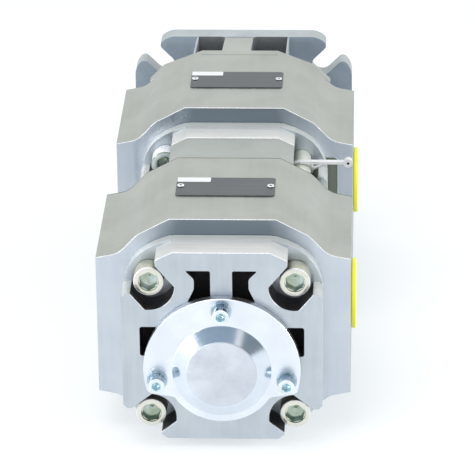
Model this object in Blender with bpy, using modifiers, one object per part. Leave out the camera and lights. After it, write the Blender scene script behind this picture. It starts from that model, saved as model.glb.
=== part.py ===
"""Tandem internal gear pump: two gear stages on one shaft line behind a drive flange.

X runs to the right as seen from the rear cap, Y along the shafts towards the drive end, Z up.
The origin lies under the middle of the pump, level with the lower edge of the drive flange.
Stage 1 is the one at the drive flange, stage 2 the one at the rear cap.
All sizes are in metres and radians.
"""
import math

import bmesh
import bpy

# Clearances
GAP = 0.0003
RUNNING_GAP = 0.0005
BOLT_GAP = 0.0004

# How far a cutter reaches past the face that it opens, and a joined piece into the one it joins
OVERRUN = 0.002
OVERLAP = 0.003

# Gears
ECCENTRICITY = 0.012
PINION_TEETH = 13
RING_TEETH = 19
PRESSURE_ANGLE = math.radians(30)
TOOTH_ADDENDUM = 0.0032
ROOT_CLEARANCE = 0.0008
FLANK_GAP = 0.00016
FLANK_POINTS = 3
GEAR_WIDTH = 0.072
RING_OUTER_RADIUS = 0.052
RING_FEED_HOLE_RADIUS = 0.0009

# Crescent
SPLIT_OFFSET = 0.006
SPLIT_RADIUS = 0.032
SPLIT_SLOT = 0.0002
CRESCENT_START = math.radians(77)
CRESCENT_END = math.radians(-12)
CRESCENT_STEPS = 9
STOP_PIN_RADIUS = 0.005
STOP_PIN_SEAT_DEPTH = 0.008
SEAL_ROLLER_RADIUS = 0.0016
SEAL_ROLLER_ANGLES = [math.radians(62), math.radians(14)]

# Shafts and bearings
JOURNAL_RADIUS = 0.020
BUSH_WALL = 0.0037
BUSH_LENGTH = 0.027
THRUST_DISC_THICKNESS = 0.006
KIDNEY_START = math.radians(150)
KIDNEY_END = math.radians(215)
SHAFT_END_CHAMFER = 0.0015
DRIVE_END_RADIUS = 0.019
DRIVE_END_REACH = 0.070
KEY_LENGTH = 0.050
KEY_WIDTH = 0.010
KEY_HEIGHT = 0.008
KEY_BITE = 0.005
KEY_END_INSET = 0.006
SPLINE_TEETH = 10
SPLINE_TIP_RADIUS = 0.0155
SPLINE_ROOT_RADIUS = 0.0130
SPLINE_TIP_SHARE = 0.40
SPLINE_ROOT_SHARE = 0.58
SHAFT_FACE_GAP = 0.001
SLEEVE_RADIUS = 0.0225
SLEEVE_LENGTH = 0.062

# Housings, seen along the shafts; heights count from the ring gear's axis
HOUSING_LENGTH = 0.125
HOUSING_HALF_WIDTH = 0.100
CASTING_MIDDLE = 0.007
HOUSING_HALF_HEIGHT = 0.0913
TOP_FLAT_HALF = 0.0417
SHOULDER_HALF = 0.0682
SHOULDER_DROP = 0.0150
SHELF_HALF = 0.0885
SHELF_DROP = 0.0310
WING_EDGE_DROP = 0.0332
CASTING_CHAMFER = 0.0012
FLANGE_FOOT_HALF = 0.079

# Ports
PORT_RADIUS = 0.025
PRESSURE_PORT_RADIUS = 0.019
PORT_BOLT_SPACING_Z = 0.0778
PORT_BOLT_SPACING_Y = 0.0429
PRESSURE_BOLT_SPACING_Z = 0.0699
PRESSURE_BOLT_SPACING_Y = 0.0357
PORT_THREAD_RADIUS = 0.006
PORT_THREAD_DEPTH = 0.024
PORT_BITE = 0.012
PORT_CAP_RADIUS = 0.0282
PORT_CAP_THICKNESS = 0.0037
PORT_CAP_PLUG = 0.006

# Bearing covers
COVER_LENGTH = 0.035
COVER_FOOT_THICKNESS = 0.0105
COVER_FOOT_STEP = 0.0005
COVER_HALF_WIDTH = 0.0787
COVER_TOP = 0.0854
COVER_BOTTOM = 0.0752
COVER_TOP_FLAT_HALF = 0.0372
COVER_BOTTOM_FLAT_HALF = 0.0437
COVER_TOP_SHOULDER_HALF = 0.0512
COVER_TOP_SHOULDER_DROP = 0.0052
COVER_BOTTOM_SHOULDER_HALF = 0.0470
COVER_BOTTOM_SHOULDER_DROP = 0.0036
COVER_SIDE_CHAMFER = 0.0046
COVER_FOOT_CORNER = 0.027
POCKET_RADIUS = 0.0196
POCKET_HALF_WIDTH = 0.0155
WINDOW_TOP = 0.0700
WINDOW_INNER = 0.0090
WINDOW_OUTER = 0.0263
WINDOW_WAIST = 0.0212
WINDOW_WAIST_DROP = 0.0070
WINDOW_WAIST_END = 0.0154
WINDOW_LOW = 0.0400
SIDE_WINDOW_OUTER = 0.0628
SIDE_WINDOW_INNER = 0.0420
SIDE_WINDOW_TOP = 0.0220
SIDE_WINDOW_BOTTOM = -0.0030
WINDOW_DEPTH = 0.019

# Screws
SCREW_SPACING = 0.1131
SCREW_RADIUS = 0.008
SCREW_HEAD_RADIUS = 0.012
SCREW_HEAD_HEIGHT = 0.016
SCREW_LENGTH = 0.070
SCREW_HEX = 0.014
SCREW_HEX_DEPTH = 0.008
SCREW_HOLE_DEPTH = 0.066
HEAD_EDGE_SHARE = 0.06

# Rear cap
CAP_RADIUS = 0.0615
CAP_THICKNESS = 0.007
CAP_LOWER_RADIUS = 0.0440
CAP_LOWER_CHORD = 0.0200
CAP_LOWER_START = 0.0230
CAP_BOSS_HEIGHT = 0.0062
CAP_BOSS_BASE_RADIUS = 0.0360
CAP_BOSS_TOP_RADIUS = 0.0272
CAP_SPIGOT_RADIUS = 0.0290
CAP_SPIGOT_LENGTH = 0.0040
CAP_SCREW_CIRCLE = 0.0508
CAP_SCREW_ANGLES = [math.radians(90), math.radians(-11), math.radians(191)]
CAP_SCREW_RADIUS = 0.004
CAP_SCREW_HEAD_RADIUS = 0.0065
CAP_SCREW_HEAD_HEIGHT = 0.008
CAP_SCREW_LENGTH = 0.022
CAP_SCREW_HEX = 0.006
CAP_SCREW_HEX_DEPTH = 0.004
CAP_THREAD_DEPTH = 0.018
WASHER_RADIUS = 0.008
WASHER_THICKNESS = 0.0016
REAR_RECESS_DEPTH = 0.006

# Seals
CORD_RADIUS = 0.0013
COVER_SEAL_RADIUS = 0.0565

# Coupling housing between the stages
COUPLING_LENGTH = 0.073
COUPLING_BORE_RADIUS = 0.027

# Drive flange, seen along the shaft; heights count from the shaft axis
FLANGE_HALF = 0.0975
FLANGE_CORNER_RADIUS = 0.118
FLANGE_PLATE_THICKNESS = 0.018
FLANGE_CASTING_LENGTH = 0.096
FLANGE_FOOT_THICKNESS = 0.010
FLANGE_CORE_RADIUS = 0.062
FLANGE_BORE_RADIUS = 0.023
SLOT_WIDTH = 0.0185
BOLT_CIRCLE_RADIUS = 0.100
PILOT_RADIUS = 0.080
PILOT_HEIGHT = 0.009
RIB_THICKNESS = 0.0036
RIB_OFFSET = 0.0400
RIB_INSET = 0.0005
WEB_LEFT = -0.0160
WEB_RIGHT = 0.0092
SIDE_WEB_HALF = 0.0120
RIB_REACH_IN = 0.030
SHAFT_SEAL_RADIUS = 0.031
SHAFT_SEAL_WIDTH = 0.010
SHAFT_SEAL_LIP = 0.003
CIRCLIP_THICKNESS = 0.0015
CIRCLIP_WIDTH = 0.0030
CIRCLIP_GROOVE_DEPTH = 0.0012
CIRCLIP_MOUTH = math.radians(24)
CIRCLIP_INSET = 0.0040

# Plates, rivets and strap
PLATE_WIDTH = 0.081
PLATE_LENGTH = 0.0375
PLATE_THICKNESS = 0.0008
PLATE_Y_OFFSET = 0.0015
RIVET_SPACING = 0.073
RIVET_RADIUS = 0.0025
RIVET_HEAD_HEIGHT = 0.0009
RIVET_SHANK_RADIUS = 0.0012
RIVET_SHANK_LENGTH = 0.006
STRAP_WALL = 0.0016
STRAP_WIDTH = 0.0036
STRAP_INSET = 0.0030
STRAP_EYE_RADIUS = 0.0036
STRAP_EYE_X = 0.0955
STRAP_EYE_Z = 0.0610
STRAP_EYE_GROWTH = 0.0004
STRAP_LEAVE_ANGLE = math.radians(62)

# Smoothness of round shapes
ROUND_LARGE = 32
ROUND_MEDIUM = 20
ROUND_SMALL = 12
ROUND_TINY = 8
POCKET_STEPS = 6
CORNER_STEPS = 4
FLAT_ANGLE = math.radians(0.05)

# Places along the shafts, worked out from the lengths above
REAR_REACH = CAP_THICKNESS + WASHER_THICKNESS + CAP_SCREW_HEAD_HEIGHT + 2 * GAP
STAGE_LENGTH = COVER_LENGTH + HOUSING_LENGTH
BODY_LENGTH = 2 * STAGE_LENGTH + COUPLING_LENGTH + FLANGE_CASTING_LENGTH
REAR_FACE = REAR_REACH - (REAR_REACH + BODY_LENGTH + DRIVE_END_REACH) / 2
COVER_FACES = {2: REAR_FACE, 1: REAR_FACE + STAGE_LENGTH + COUPLING_LENGTH}
COUPLING_FACE = REAR_FACE + STAGE_LENGTH
FLANGE_CASTING_FACE = COVER_FACES[1] + STAGE_LENGTH
MOUNTING_FACE = FLANGE_CASTING_FACE + FLANGE_CASTING_LENGTH
SHAFT_END = MOUNTING_FACE + DRIVE_END_REACH
FLANGE_PLATE_FACE = MOUNTING_FACE - FLANGE_PLATE_THICKNESS

# Heights of the two axes
SHAFT_Z = FLANGE_HALF
RING_Z = SHAFT_Z + ECCENTRICITY
CASTING_TOP = RING_Z + CASTING_MIDDLE + HOUSING_HALF_HEIGHT
SHAFT_CENTRE = (0.0, SHAFT_Z)
RING_CENTRE = (0.0, RING_Z)

# Sizes that follow from the gears and the bearings
MODULE = 2 * ECCENTRICITY / (RING_TEETH - PINION_TEETH)
PINION_PITCH_RADIUS = MODULE * PINION_TEETH / 2
RING_PITCH_RADIUS = MODULE * RING_TEETH / 2
PINION_TIP_RADIUS = PINION_PITCH_RADIUS + TOOTH_ADDENDUM
PINION_ROOT_RADIUS = PINION_PITCH_RADIUS - TOOTH_ADDENDUM - ROOT_CLEARANCE
RING_TIP_RADIUS = RING_PITCH_RADIUS - TOOTH_ADDENDUM
RING_ROOT_RADIUS = RING_PITCH_RADIUS + TOOTH_ADDENDUM + ROOT_CLEARANCE
CAVITY_RADIUS = RING_OUTER_RADIUS + RUNNING_GAP
CAVITY_DEPTH = GEAR_WIDTH + 2 * THRUST_DISC_THICKNESS + 4 * GAP
GEAR_INSET = THRUST_DISC_THICKNESS + 2 * GAP
BUSH_INNER_RADIUS = JOURNAL_RADIUS + GAP
BUSH_OUTER_RADIUS = BUSH_INNER_RADIUS + BUSH_WALL
BEARING_BORE_RADIUS = BUSH_OUTER_RADIUS + GAP
STOP_PIN_HEIGHT = (PINION_TIP_RADIUS - ECCENTRICITY + RING_TIP_RADIUS) / 2
CRESCENT_INNER_RADIUS = PINION_TIP_RADIUS + GAP
CRESCENT_OUTER_RADIUS = RING_TIP_RADIUS - GAP
SCREW_PLACES = [(sx * SCREW_SPACING / 2, sz * SCREW_SPACING / 2) for sz in (1, -1) for sx in (-1, 1)]
SCREW_CORNERS = ["top_left", "top_right", "bottom_left", "bottom_right"]


def start_scene():
    """Empties the file and makes one collection for the pump and one for its cutters."""
    for item in list(bpy.data.objects):
        bpy.data.objects.remove(item, do_unlink=True)
    found = []
    for name in ("hydraulic_pump", "cutters"):
        collection = bpy.data.collections.new(name)
        bpy.context.scene.collection.children.link(collection)
        found.append(collection)
    return found


PUMP, CUTTERS = start_scene()


def material(name, colour, roughness, metallic):
    """A plain Principled material."""
    made = bpy.data.materials.new(name)
    made.use_nodes = True
    shader = made.node_tree.nodes["Principled BSDF"]
    shader.inputs["Base Color"].default_value = (*colour, 1.0)
    shader.inputs["Roughness"].default_value = roughness
    shader.inputs["Metallic"].default_value = metallic
    return made


def move_to(item, collection):
    """Keeps an object in one collection only."""
    for old in list(item.users_collection):
        old.objects.unlink(item)
    collection.objects.link(item)


def finish_piece(item, name, look, parent=None):
    """Names a finished piece, gives it its own material and puts it with the pump."""
    apply_modifiers(item)
    merge_flat_faces(item.data)
    item.name = name
    item.data.name = name
    item.data.materials.clear()
    item.data.materials.append(material(name, *look))
    move_to(item, PUMP)
    item.data.shade_smooth()
    item.data.set_sharp_from_angle(angle=math.radians(32))
    if parent is not None:
        world = item.matrix_world.copy()
        item.parent = parent
        item.matrix_parent_inverse = parent.matrix_world.inverted()
        item.matrix_world = world
    return item


def apply_modifiers(item):
    """Turns an object's modifiers into mesh."""
    bpy.context.view_layer.objects.active = item
    for modifier in list(item.modifiers):
        bpy.ops.object.modifier_apply(modifier=modifier.name)


def merge_flat_faces(mesh):
    """Joins the flat facets that filling and cutting leave behind."""
    shape = bmesh.new()
    shape.from_mesh(mesh)
    bmesh.ops.dissolve_limit(shape, angle_limit=FLAT_ANGLE, verts=shape.verts, edges=shape.edges)
    shape.to_mesh(mesh)
    shape.free()


def boolean(target, operation, tools):
    """Cuts with or joins a list of tool objects, which are kept apart as wires."""
    group = bpy.data.collections.new(target.name + "_" + operation.lower())
    CUTTERS.children.link(group)
    for tool in tools:
        move_to(tool, group)
        tool.display_type = "WIRE"
        tool.hide_render = True
    change = target.modifiers.new(operation.lower(), "BOOLEAN")
    change.operation = operation
    change.operand_type = "COLLECTION"
    change.collection = group
    change.solver = "EXACT"
    apply_modifiers(target)
    for tool in tools:
        tool.hide_viewport = True


def cut(target, tools):
    boolean(target, "DIFFERENCE", tools)


def join(target, tools):
    boolean(target, "UNION", tools)


def cylinder(radius, start, end, centre, sides=ROUND_MEDIUM, axis="Y"):
    """A plain cylinder from start to end along an axis; centre is its place across the axis."""
    middle = (start + end) / 2
    places = {"X": (middle, *centre), "Y": (centre[0], middle, centre[1]), "Z": (*centre, middle)}
    turns = {"X": (0, math.pi / 2, 0), "Y": (math.pi / 2, 0, 0), "Z": (0, 0, 0)}
    bpy.ops.mesh.primitive_cylinder_add(
        vertices=sides, radius=radius, depth=abs(end - start), location=places[axis], rotation=turns[axis]
    )
    return bpy.context.object


def box(low, high):
    """A block between two corners."""
    size = [b - a for a, b in zip(low, high)]
    bpy.ops.mesh.primitive_cube_add(size=1, location=[(a + b) / 2 for a, b in zip(low, high)])
    item = bpy.context.object
    item.scale = size
    bpy.ops.object.transform_apply(location=False, rotation=False, scale=True)
    return item


def turned(profile, centre, steps=ROUND_MEDIUM, closed=False):
    """A profile of (radius, y) points, in rising y on its outer side, turned about a line along Y."""
    points = list(reversed(profile))
    mesh = bpy.data.meshes.new("profile")
    edges = [(i, i + 1) for i in range(len(points) - 1)]
    if closed:
        edges.append((len(points) - 1, 0))
    mesh.from_pydata([(radius, y, 0) for radius, y in points], edges, [])
    item = bpy.data.objects.new("turned", mesh)
    item.location = (centre[0], 0, centre[1])
    PUMP.objects.link(item)
    screw = item.modifiers.new("turn", "SCREW")
    screw.axis = "Y"
    screw.steps = steps
    screw.render_steps = steps
    screw.use_merge_vertices = True
    screw.merge_threshold = 0.00001
    return item


def filled_outline(loops, thickness):
    """A mesh from closed outlines, the first one outside and any others as holes, lying in XY."""
    curve = bpy.data.curves.new("outline", "CURVE")
    curve.dimensions = "2D"
    curve.fill_mode = "BOTH"
    curve.extrude = thickness / 2
    for loop in loops:
        spline = curve.splines.new("POLY")
        spline.points.add(len(loop) - 1)
        for point, (x, y) in zip(spline.points, loop):
            point.co = (x, y, 0, 1)
        spline.use_cyclic_u = True
    return bpy.data.objects.new("outline", curve)


def solid_from(outline, rotation, location):
    """Turns a placed outline curve into a welded mesh object and removes the curve."""
    PUMP.objects.link(outline)
    outline.rotation_euler = rotation
    outline.location = location
    bpy.context.view_layer.update()
    evaluated = outline.evaluated_get(bpy.context.evaluated_depsgraph_get())
    mesh = bpy.data.meshes.new_from_object(evaluated)
    welded = bmesh.new()
    welded.from_mesh(mesh)
    bmesh.ops.remove_doubles(welded, verts=welded.verts, dist=0.000001)
    welded.to_mesh(mesh)
    welded.free()
    item = bpy.data.objects.new("prism", mesh)
    item.matrix_world = outline.matrix_world
    PUMP.objects.link(item)
    bpy.data.objects.remove(outline, do_unlink=True)
    return item


def prism(loops, start, end, centre=(0.0, 0.0)):
    """Outlines in X and Z carried along Y from start to end."""
    outline = filled_outline(loops, end - start)
    return solid_from(outline, (math.pi / 2, 0, 0), (centre[0], (start + end) / 2, centre[1]))


def side_prism(loop, left, right):
    """An outline of (y, z) points carried along X from left to right."""
    outline = filled_outline([loop], right - left)
    return solid_from(outline, (math.pi / 2, 0, math.pi / 2), ((left + right) / 2, 0, 0))


def chamfer(item):
    """Breaks the sharp edges of a casting before anything is cut from it."""
    bevel = item.modifiers.new("chamfer", "BEVEL")
    bevel.width = CASTING_CHAMFER
    bevel.segments = 1
    bevel.limit_method = "ANGLE"
    bevel.angle_limit = math.radians(60)


def arc(centre, radius, start, end, steps):
    """Points on an arc, both ends included."""
    return [
        (centre[0] + radius * math.cos(start + (end - start) * i / steps),
         centre[1] + radius * math.sin(start + (end - start) * i / steps))
        for i in range(steps + 1)
    ]


def circle(centre, radius, sides):
    return arc(centre, radius, 0, 2 * math.pi * (sides - 1) / sides, sides - 1)


def flipped_x(points):
    """The mirror image across X, in reversed order so that it continues the outline."""
    return [(-x, z) for x, z in reversed(points)]


def flipped_z(points, middle):
    """The mirror image below a height, in reversed order so that it continues the outline."""
    return [(x, 2 * middle - z) for x, z in reversed(points)]


def blend_curve(start, end, start_slope, end_slope, steps):
    """A smooth curve that leaves and arrives at the given slopes."""
    reach = (end[0] - start[0]) * 0.45
    first = (start[0] + reach, start[1] + reach * start_slope)
    second = (end[0] - reach, end[1] - reach * end_slope)
    points = []
    for i in range(steps + 1):
        t = i / steps
        weights = ((1 - t) ** 3, 3 * t * (1 - t) ** 2, 3 * t * t * (1 - t), t ** 3)
        corners = (start, first, second, end)
        points.append(tuple(sum(w * c[k] for w, c in zip(weights, corners)) for k in (0, 1)))
    return points


def involute(angle):
    return math.tan(angle) - angle


def gear_outline(teeth, pitch_radius, inner_radius, outer_radius, half_angle_gap):
    """A toothed outline about the origin with one tooth pointing down, root and tip round.

    It is a gear's teeth, or the spaces of a ring gear seen as teeth of a larger gear.
    """
    base_radius = pitch_radius * math.cos(PRESSURE_ANGLE)

    def half_angle(radius):
        pressure = math.acos(min(1.0, base_radius / radius))
        return (
            math.pi / (2 * teeth) + involute(PRESSURE_ANGLE) - involute(pressure) + half_angle_gap
        )

    lowest = max(inner_radius, base_radius * 1.0001)
    radii = [lowest + (outer_radius - lowest) * i / (FLANK_POINTS - 1) for i in range(FLANK_POINTS)]
    points = []
    for tooth in range(teeth):
        middle = 2 * math.pi * tooth / teeth - math.pi / 2
        flank = [(radius, half_angle(radius)) for radius in radii]
        if inner_radius < lowest:
            flank.insert(0, (inner_radius, half_angle(lowest)))
        side = [(radius, middle - turn) for radius, turn in flank]
        side += [(radius, middle + turn) for radius, turn in reversed(flank)]
        points += [(radius * math.cos(a), radius * math.sin(a)) for radius, a in side]
    return points


def spline_outline(growth):
    """A straight sided spline, grown outwards for the hub that goes over it."""
    points = []
    half_tip = math.pi / SPLINE_TEETH * SPLINE_TIP_SHARE
    half_root = math.pi / SPLINE_TEETH * SPLINE_ROOT_SHARE
    turn_gap = growth / SPLINE_TIP_RADIUS
    for tooth in range(SPLINE_TEETH):
        middle = 2 * math.pi * tooth / SPLINE_TEETH
        corners = [
            (SPLINE_ROOT_RADIUS, -half_root), (SPLINE_TIP_RADIUS, -half_tip),
            (SPLINE_TIP_RADIUS, half_tip), (SPLINE_ROOT_RADIUS, half_root),
        ]
        for radius, turn in corners:
            angle = middle + turn + math.copysign(turn_gap, turn)
            points.append(((radius + growth) * math.cos(angle), (radius + growth) * math.sin(angle)))
    return points


# Looks: colour, roughness and metallic value
CAST_LOOK = ((0.50, 0.52, 0.53), 0.45, 0.8)
COVER_LOOK = ((0.60, 0.63, 0.66), 0.40, 0.8)
CAP_LOOK = ((0.80, 0.83, 0.87), 0.28, 1.0)
ZINC_LOOK = ((0.62, 0.61, 0.52), 0.35, 1.0)
BRIGHT_ZINC_LOOK = ((0.66, 0.70, 0.74), 0.30, 1.0)
STEEL_LOOK = ((0.45, 0.45, 0.46), 0.30, 1.0)
BRONZE_LOOK = ((0.52, 0.36, 0.16), 0.40, 1.0)
RUBBER_LOOK = ((0.02, 0.02, 0.02), 0.70, 0.0)
PLATE_LOOK = ((0.13, 0.14, 0.155), 0.45, 0.6)
YELLOW_LOOK = ((0.83, 0.82, 0.03), 0.50, 0.0)
STRAP_LOOK = ((0.85, 0.86, 0.86), 0.40, 0.0)


def housing_profile(half_width, winged):
    """The right upper quarter of a casting's outline, from the top flat down to the side."""
    middle = RING_Z + CASTING_MIDDLE
    top = middle + HOUSING_HALF_HEIGHT
    shoulder = (SHOULDER_HALF, top - SHOULDER_DROP)
    fall = -SHOULDER_DROP / (SHOULDER_HALF - TOP_FLAT_HALF)
    points = [(TOP_FLAT_HALF, top), shoulder]
    if winged:
        shelf = (SHELF_HALF, top - SHELF_DROP)
        edge = (half_width, top - WING_EDGE_DROP)
        slope = (edge[1] - shelf[1]) / (edge[0] - shelf[0])
        points = points[:1] + blend_curve(shoulder, shelf, fall, slope, CORNER_STEPS) + [edge]
    else:
        points.append((half_width, top - SHOULDER_DROP - (half_width - SHOULDER_HALF)))
    return points


def casting_outline(half_width, winged):
    """A casting's whole outline in world X and Z."""
    quarter = housing_profile(half_width, winged)
    right = quarter + flipped_z(quarter, RING_Z + CASTING_MIDDLE)
    return right + flipped_x(right)


def cover_outline():
    """The cover's raised part and the coupling housing: four corners are left open for screw heads."""
    screw = SCREW_SPACING / 2
    reach = math.sqrt(POCKET_RADIUS ** 2 - POCKET_HALF_WIDTH ** 2)
    turn = math.atan2(POCKET_HALF_WIDTH, reach)
    step = POCKET_HALF_WIDTH * math.sqrt(2)

    def corner(top, flat_half, shoulder_half, shoulder_drop, sign):
        """From the top or bottom flat, round the screw pocket, to the side, on the right."""
        diagonal = math.radians(225)
        side = COVER_HALF_WIDTH - COVER_SIDE_CHAMFER
        points = [(flat_half, top), (shoulder_half, top - shoulder_drop),
                  (shoulder_half, shoulder_half + step)]
        points += arc((screw, screw), POCKET_RADIUS, diagonal - turn, diagonal + turn, POCKET_STEPS)
        points += [(side, side - step), (COVER_HALF_WIDTH, side - step - COVER_SIDE_CHAMFER)]
        return [(x, RING_Z + sign * z) for x, z in points]

    upper = corner(COVER_TOP, COVER_TOP_FLAT_HALF, COVER_TOP_SHOULDER_HALF, COVER_TOP_SHOULDER_DROP, 1)
    lower = corner(COVER_BOTTOM, COVER_BOTTOM_FLAT_HALF, COVER_BOTTOM_SHOULDER_HALF,
                   COVER_BOTTOM_SHOULDER_DROP, -1)
    right = upper + list(reversed(lower))
    return right + flipped_x(right)


def cover_foot_outline():
    """The cover's screwed-down foot, a block with large round corners."""
    side = COVER_HALF_WIDTH - COVER_FOOT_CORNER
    radius = COVER_FOOT_CORNER + COVER_FOOT_STEP
    upper = arc((side, RING_Z + COVER_TOP - COVER_FOOT_CORNER), radius, math.pi / 2, 0, CORNER_STEPS)
    lower = arc((side, RING_Z - COVER_BOTTOM + COVER_FOOT_CORNER), radius, 0, -math.pi / 2, CORNER_STEPS)
    right = upper + lower
    return right + flipped_x(right)


def cover_windows(face):
    """The blind windows in the cover's outer face: two above the cap and one at each side."""
    tools = []
    for side in (-1, 1):
        top = RING_Z + WINDOW_TOP
        upper = [
            (WINDOW_INNER, top), (WINDOW_OUTER, top),
            (WINDOW_WAIST, top - WINDOW_WAIST_DROP), (WINDOW_WAIST, top - WINDOW_WAIST_END),
            (WINDOW_OUTER, RING_Z + WINDOW_LOW), (WINDOW_INNER, RING_Z + WINDOW_LOW),
        ]
        lateral = [
            (SIDE_WINDOW_INNER, RING_Z + SIDE_WINDOW_TOP), (SIDE_WINDOW_OUTER, RING_Z + SIDE_WINDOW_TOP),
            (SIDE_WINDOW_OUTER, RING_Z + SIDE_WINDOW_BOTTOM),
            (SIDE_WINDOW_INNER, RING_Z + SIDE_WINDOW_BOTTOM),
        ]
        for loop in (upper, lateral):
            placed = [(side * x, z) for x, z in loop]
            tools.append(prism([placed], face - OVERRUN, face + WINDOW_DEPTH))
    return tools


def make_cover(stage):
    """A bearing cover: foot, raised part, screw pockets, windows and the bearing bore."""
    face = COVER_FACES[stage]
    back = face + COVER_LENGTH - GAP
    foot_face = face + COVER_LENGTH - COVER_FOOT_THICKNESS
    cover = prism([cover_foot_outline()], foot_face, back)
    raised = prism([cover_outline()], face, back - COVER_FOOT_THICKNESS / 2)
    cover.name = f"cover_{stage}_blank"
    join(cover, [raised])
    tools = [cylinder(SCREW_RADIUS + BOLT_GAP, face, back + OVERRUN, (x, RING_Z + z), ROUND_SMALL)
             for x, z in SCREW_PLACES]
    recess = cylinder(CAP_SPIGOT_RADIUS + GAP, face - OVERRUN, face + REAR_RECESS_DEPTH, SHAFT_CENTRE)
    bore = cylinder(BEARING_BORE_RADIUS, face + REAR_RECESS_DEPTH - OVERRUN, back + OVERRUN, SHAFT_CENTRE)
    pin = cylinder(STOP_PIN_RADIUS + GAP, back - STOP_PIN_SEAT_DEPTH, back + OVERRUN,
                   (0, RING_Z + STOP_PIN_HEIGHT), ROUND_TINY)
    tools += [recess, bore, pin] + cover_windows(face)
    for angle in CAP_SCREW_ANGLES:
        place = cap_screw_place(angle)
        tools.append(cylinder(CAP_SCREW_RADIUS + BOLT_GAP, face - OVERRUN, face + CAP_THREAD_DEPTH,
                              place, ROUND_TINY))
    cut(cover, tools)
    return finish_piece(cover, f"bearing_cover_{stage}", COVER_LOOK)


def port_tools(stage, side, port_radius, spacing_z, spacing_y):
    """A port bore from the wing's face to the gear cavity, with its four threaded holes."""
    housing_face = COVER_FACES[stage] + COVER_LENGTH
    middle = (housing_face + HOUSING_LENGTH / 2, RING_Z + CASTING_MIDDLE)
    outside = side * (HOUSING_HALF_WIDTH + OVERRUN)
    inside = side * (CAVITY_RADIUS - PORT_BITE)
    low, high = sorted((outside, inside))
    tools = [cylinder(port_radius, low, high, middle, ROUND_MEDIUM, "X")]
    low, high = sorted((outside, side * (HOUSING_HALF_WIDTH - PORT_THREAD_DEPTH)))
    for sy in (-1, 1):
        for sz in (-1, 1):
            place = (middle[0] + sy * spacing_y / 2, middle[1] + sz * spacing_z / 2)
            tools.append(cylinder(PORT_THREAD_RADIUS, low, high, place, ROUND_TINY, "X"))
    return tools


def make_housing(stage):
    """A pump housing: winged casting, gear cavity, bearing bore, ports and threaded holes."""
    start = COVER_FACES[stage] + COVER_LENGTH
    end = start + HOUSING_LENGTH - GAP
    housing = prism([casting_outline(HOUSING_HALF_WIDTH, True)], start, end)
    housing.name = f"housing_{stage}_blank"
    cavity = cylinder(CAVITY_RADIUS, start - OVERRUN, start + CAVITY_DEPTH, RING_CENTRE, ROUND_LARGE)
    bore = cylinder(BEARING_BORE_RADIUS, start + CAVITY_DEPTH / 2, end + OVERRUN, SHAFT_CENTRE)
    pin_end = start + CAVITY_DEPTH + STOP_PIN_SEAT_DEPTH
    pin = cylinder(STOP_PIN_RADIUS + GAP, start + CAVITY_DEPTH - OVERRUN, pin_end,
                   (0, RING_Z + STOP_PIN_HEIGHT), ROUND_TINY)
    groove = turned(
        [(COVER_SEAL_RADIUS - CORD_RADIUS - GAP, start - OVERRUN),
         (COVER_SEAL_RADIUS + CORD_RADIUS + GAP, start - OVERRUN),
         (COVER_SEAL_RADIUS + CORD_RADIUS + GAP, start + 2 * CORD_RADIUS + GAP),
         (COVER_SEAL_RADIUS - CORD_RADIUS - GAP, start + 2 * CORD_RADIUS + GAP)],
        RING_CENTRE, closed=True)
    tools = [cavity, bore, pin, groove]
    tools += [cylinder(SCREW_RADIUS + BOLT_GAP, start - OVERRUN, start + SCREW_HOLE_DEPTH, (x, RING_Z + z),
                       ROUND_SMALL) for x, z in SCREW_PLACES]
    tools += port_tools(stage, -1, PORT_RADIUS, PORT_BOLT_SPACING_Z, PORT_BOLT_SPACING_Y)
    tools += port_tools(stage, 1, PRESSURE_PORT_RADIUS, PRESSURE_BOLT_SPACING_Z, PRESSURE_BOLT_SPACING_Y)
    for x in (-RIVET_SPACING / 2, RIVET_SPACING / 2):
        tools.append(cylinder(RIVET_SHANK_RADIUS + GAP, CASTING_TOP - RIVET_SHANK_LENGTH - GAP,
                              CASTING_TOP + OVERRUN, (x, plate_y(stage)), ROUND_TINY, "Z"))
    cut(housing, tools)
    return finish_piece(housing, f"housing_{stage}", CAST_LOOK)


def make_coupling_housing():
    """The block between the stages, with the coupling's bore along it."""
    start = COUPLING_FACE
    end = start + COUPLING_LENGTH - GAP
    block = prism([cover_outline()], start, end)
    block.name = "coupling_housing_blank"
    cut(block, [cylinder(COUPLING_BORE_RADIUS, start - OVERRUN, end + OVERRUN, SHAFT_CENTRE)])
    return finish_piece(block, "coupling_housing", CAST_LOOK)


def flange_plate_outline():
    """A square with round corners and four open slots along its diagonals, about the shaft axis."""
    half = SLOT_WIDTH / 2
    flat_end = math.sqrt(FLANGE_CORNER_RADIUS ** 2 - FLANGE_HALF ** 2)
    from_angle = math.atan2(FLANGE_HALF, flat_end)
    slot_turn = math.asin(half / FLANGE_CORNER_RADIUS)
    diagonal = math.radians(45)
    tip = arc((0, 0), FLANGE_CORNER_RADIUS, from_angle, diagonal + slot_turn, 2)
    middle = BOLT_CIRCLE_RADIUS * math.cos(diagonal)
    pocket = arc((middle, middle), half, math.radians(135), math.radians(315), POCKET_STEPS)
    corner = tip + pocket + [(z, x) for x, z in reversed(tip)]
    points = []
    for quarter in range(4):
        turn = -quarter * math.pi / 2
        cosine, sine = math.cos(turn), math.sin(turn)
        points += [(x * cosine - z * sine, x * sine + z * cosine) for x, z in corner]
    return points


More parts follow.
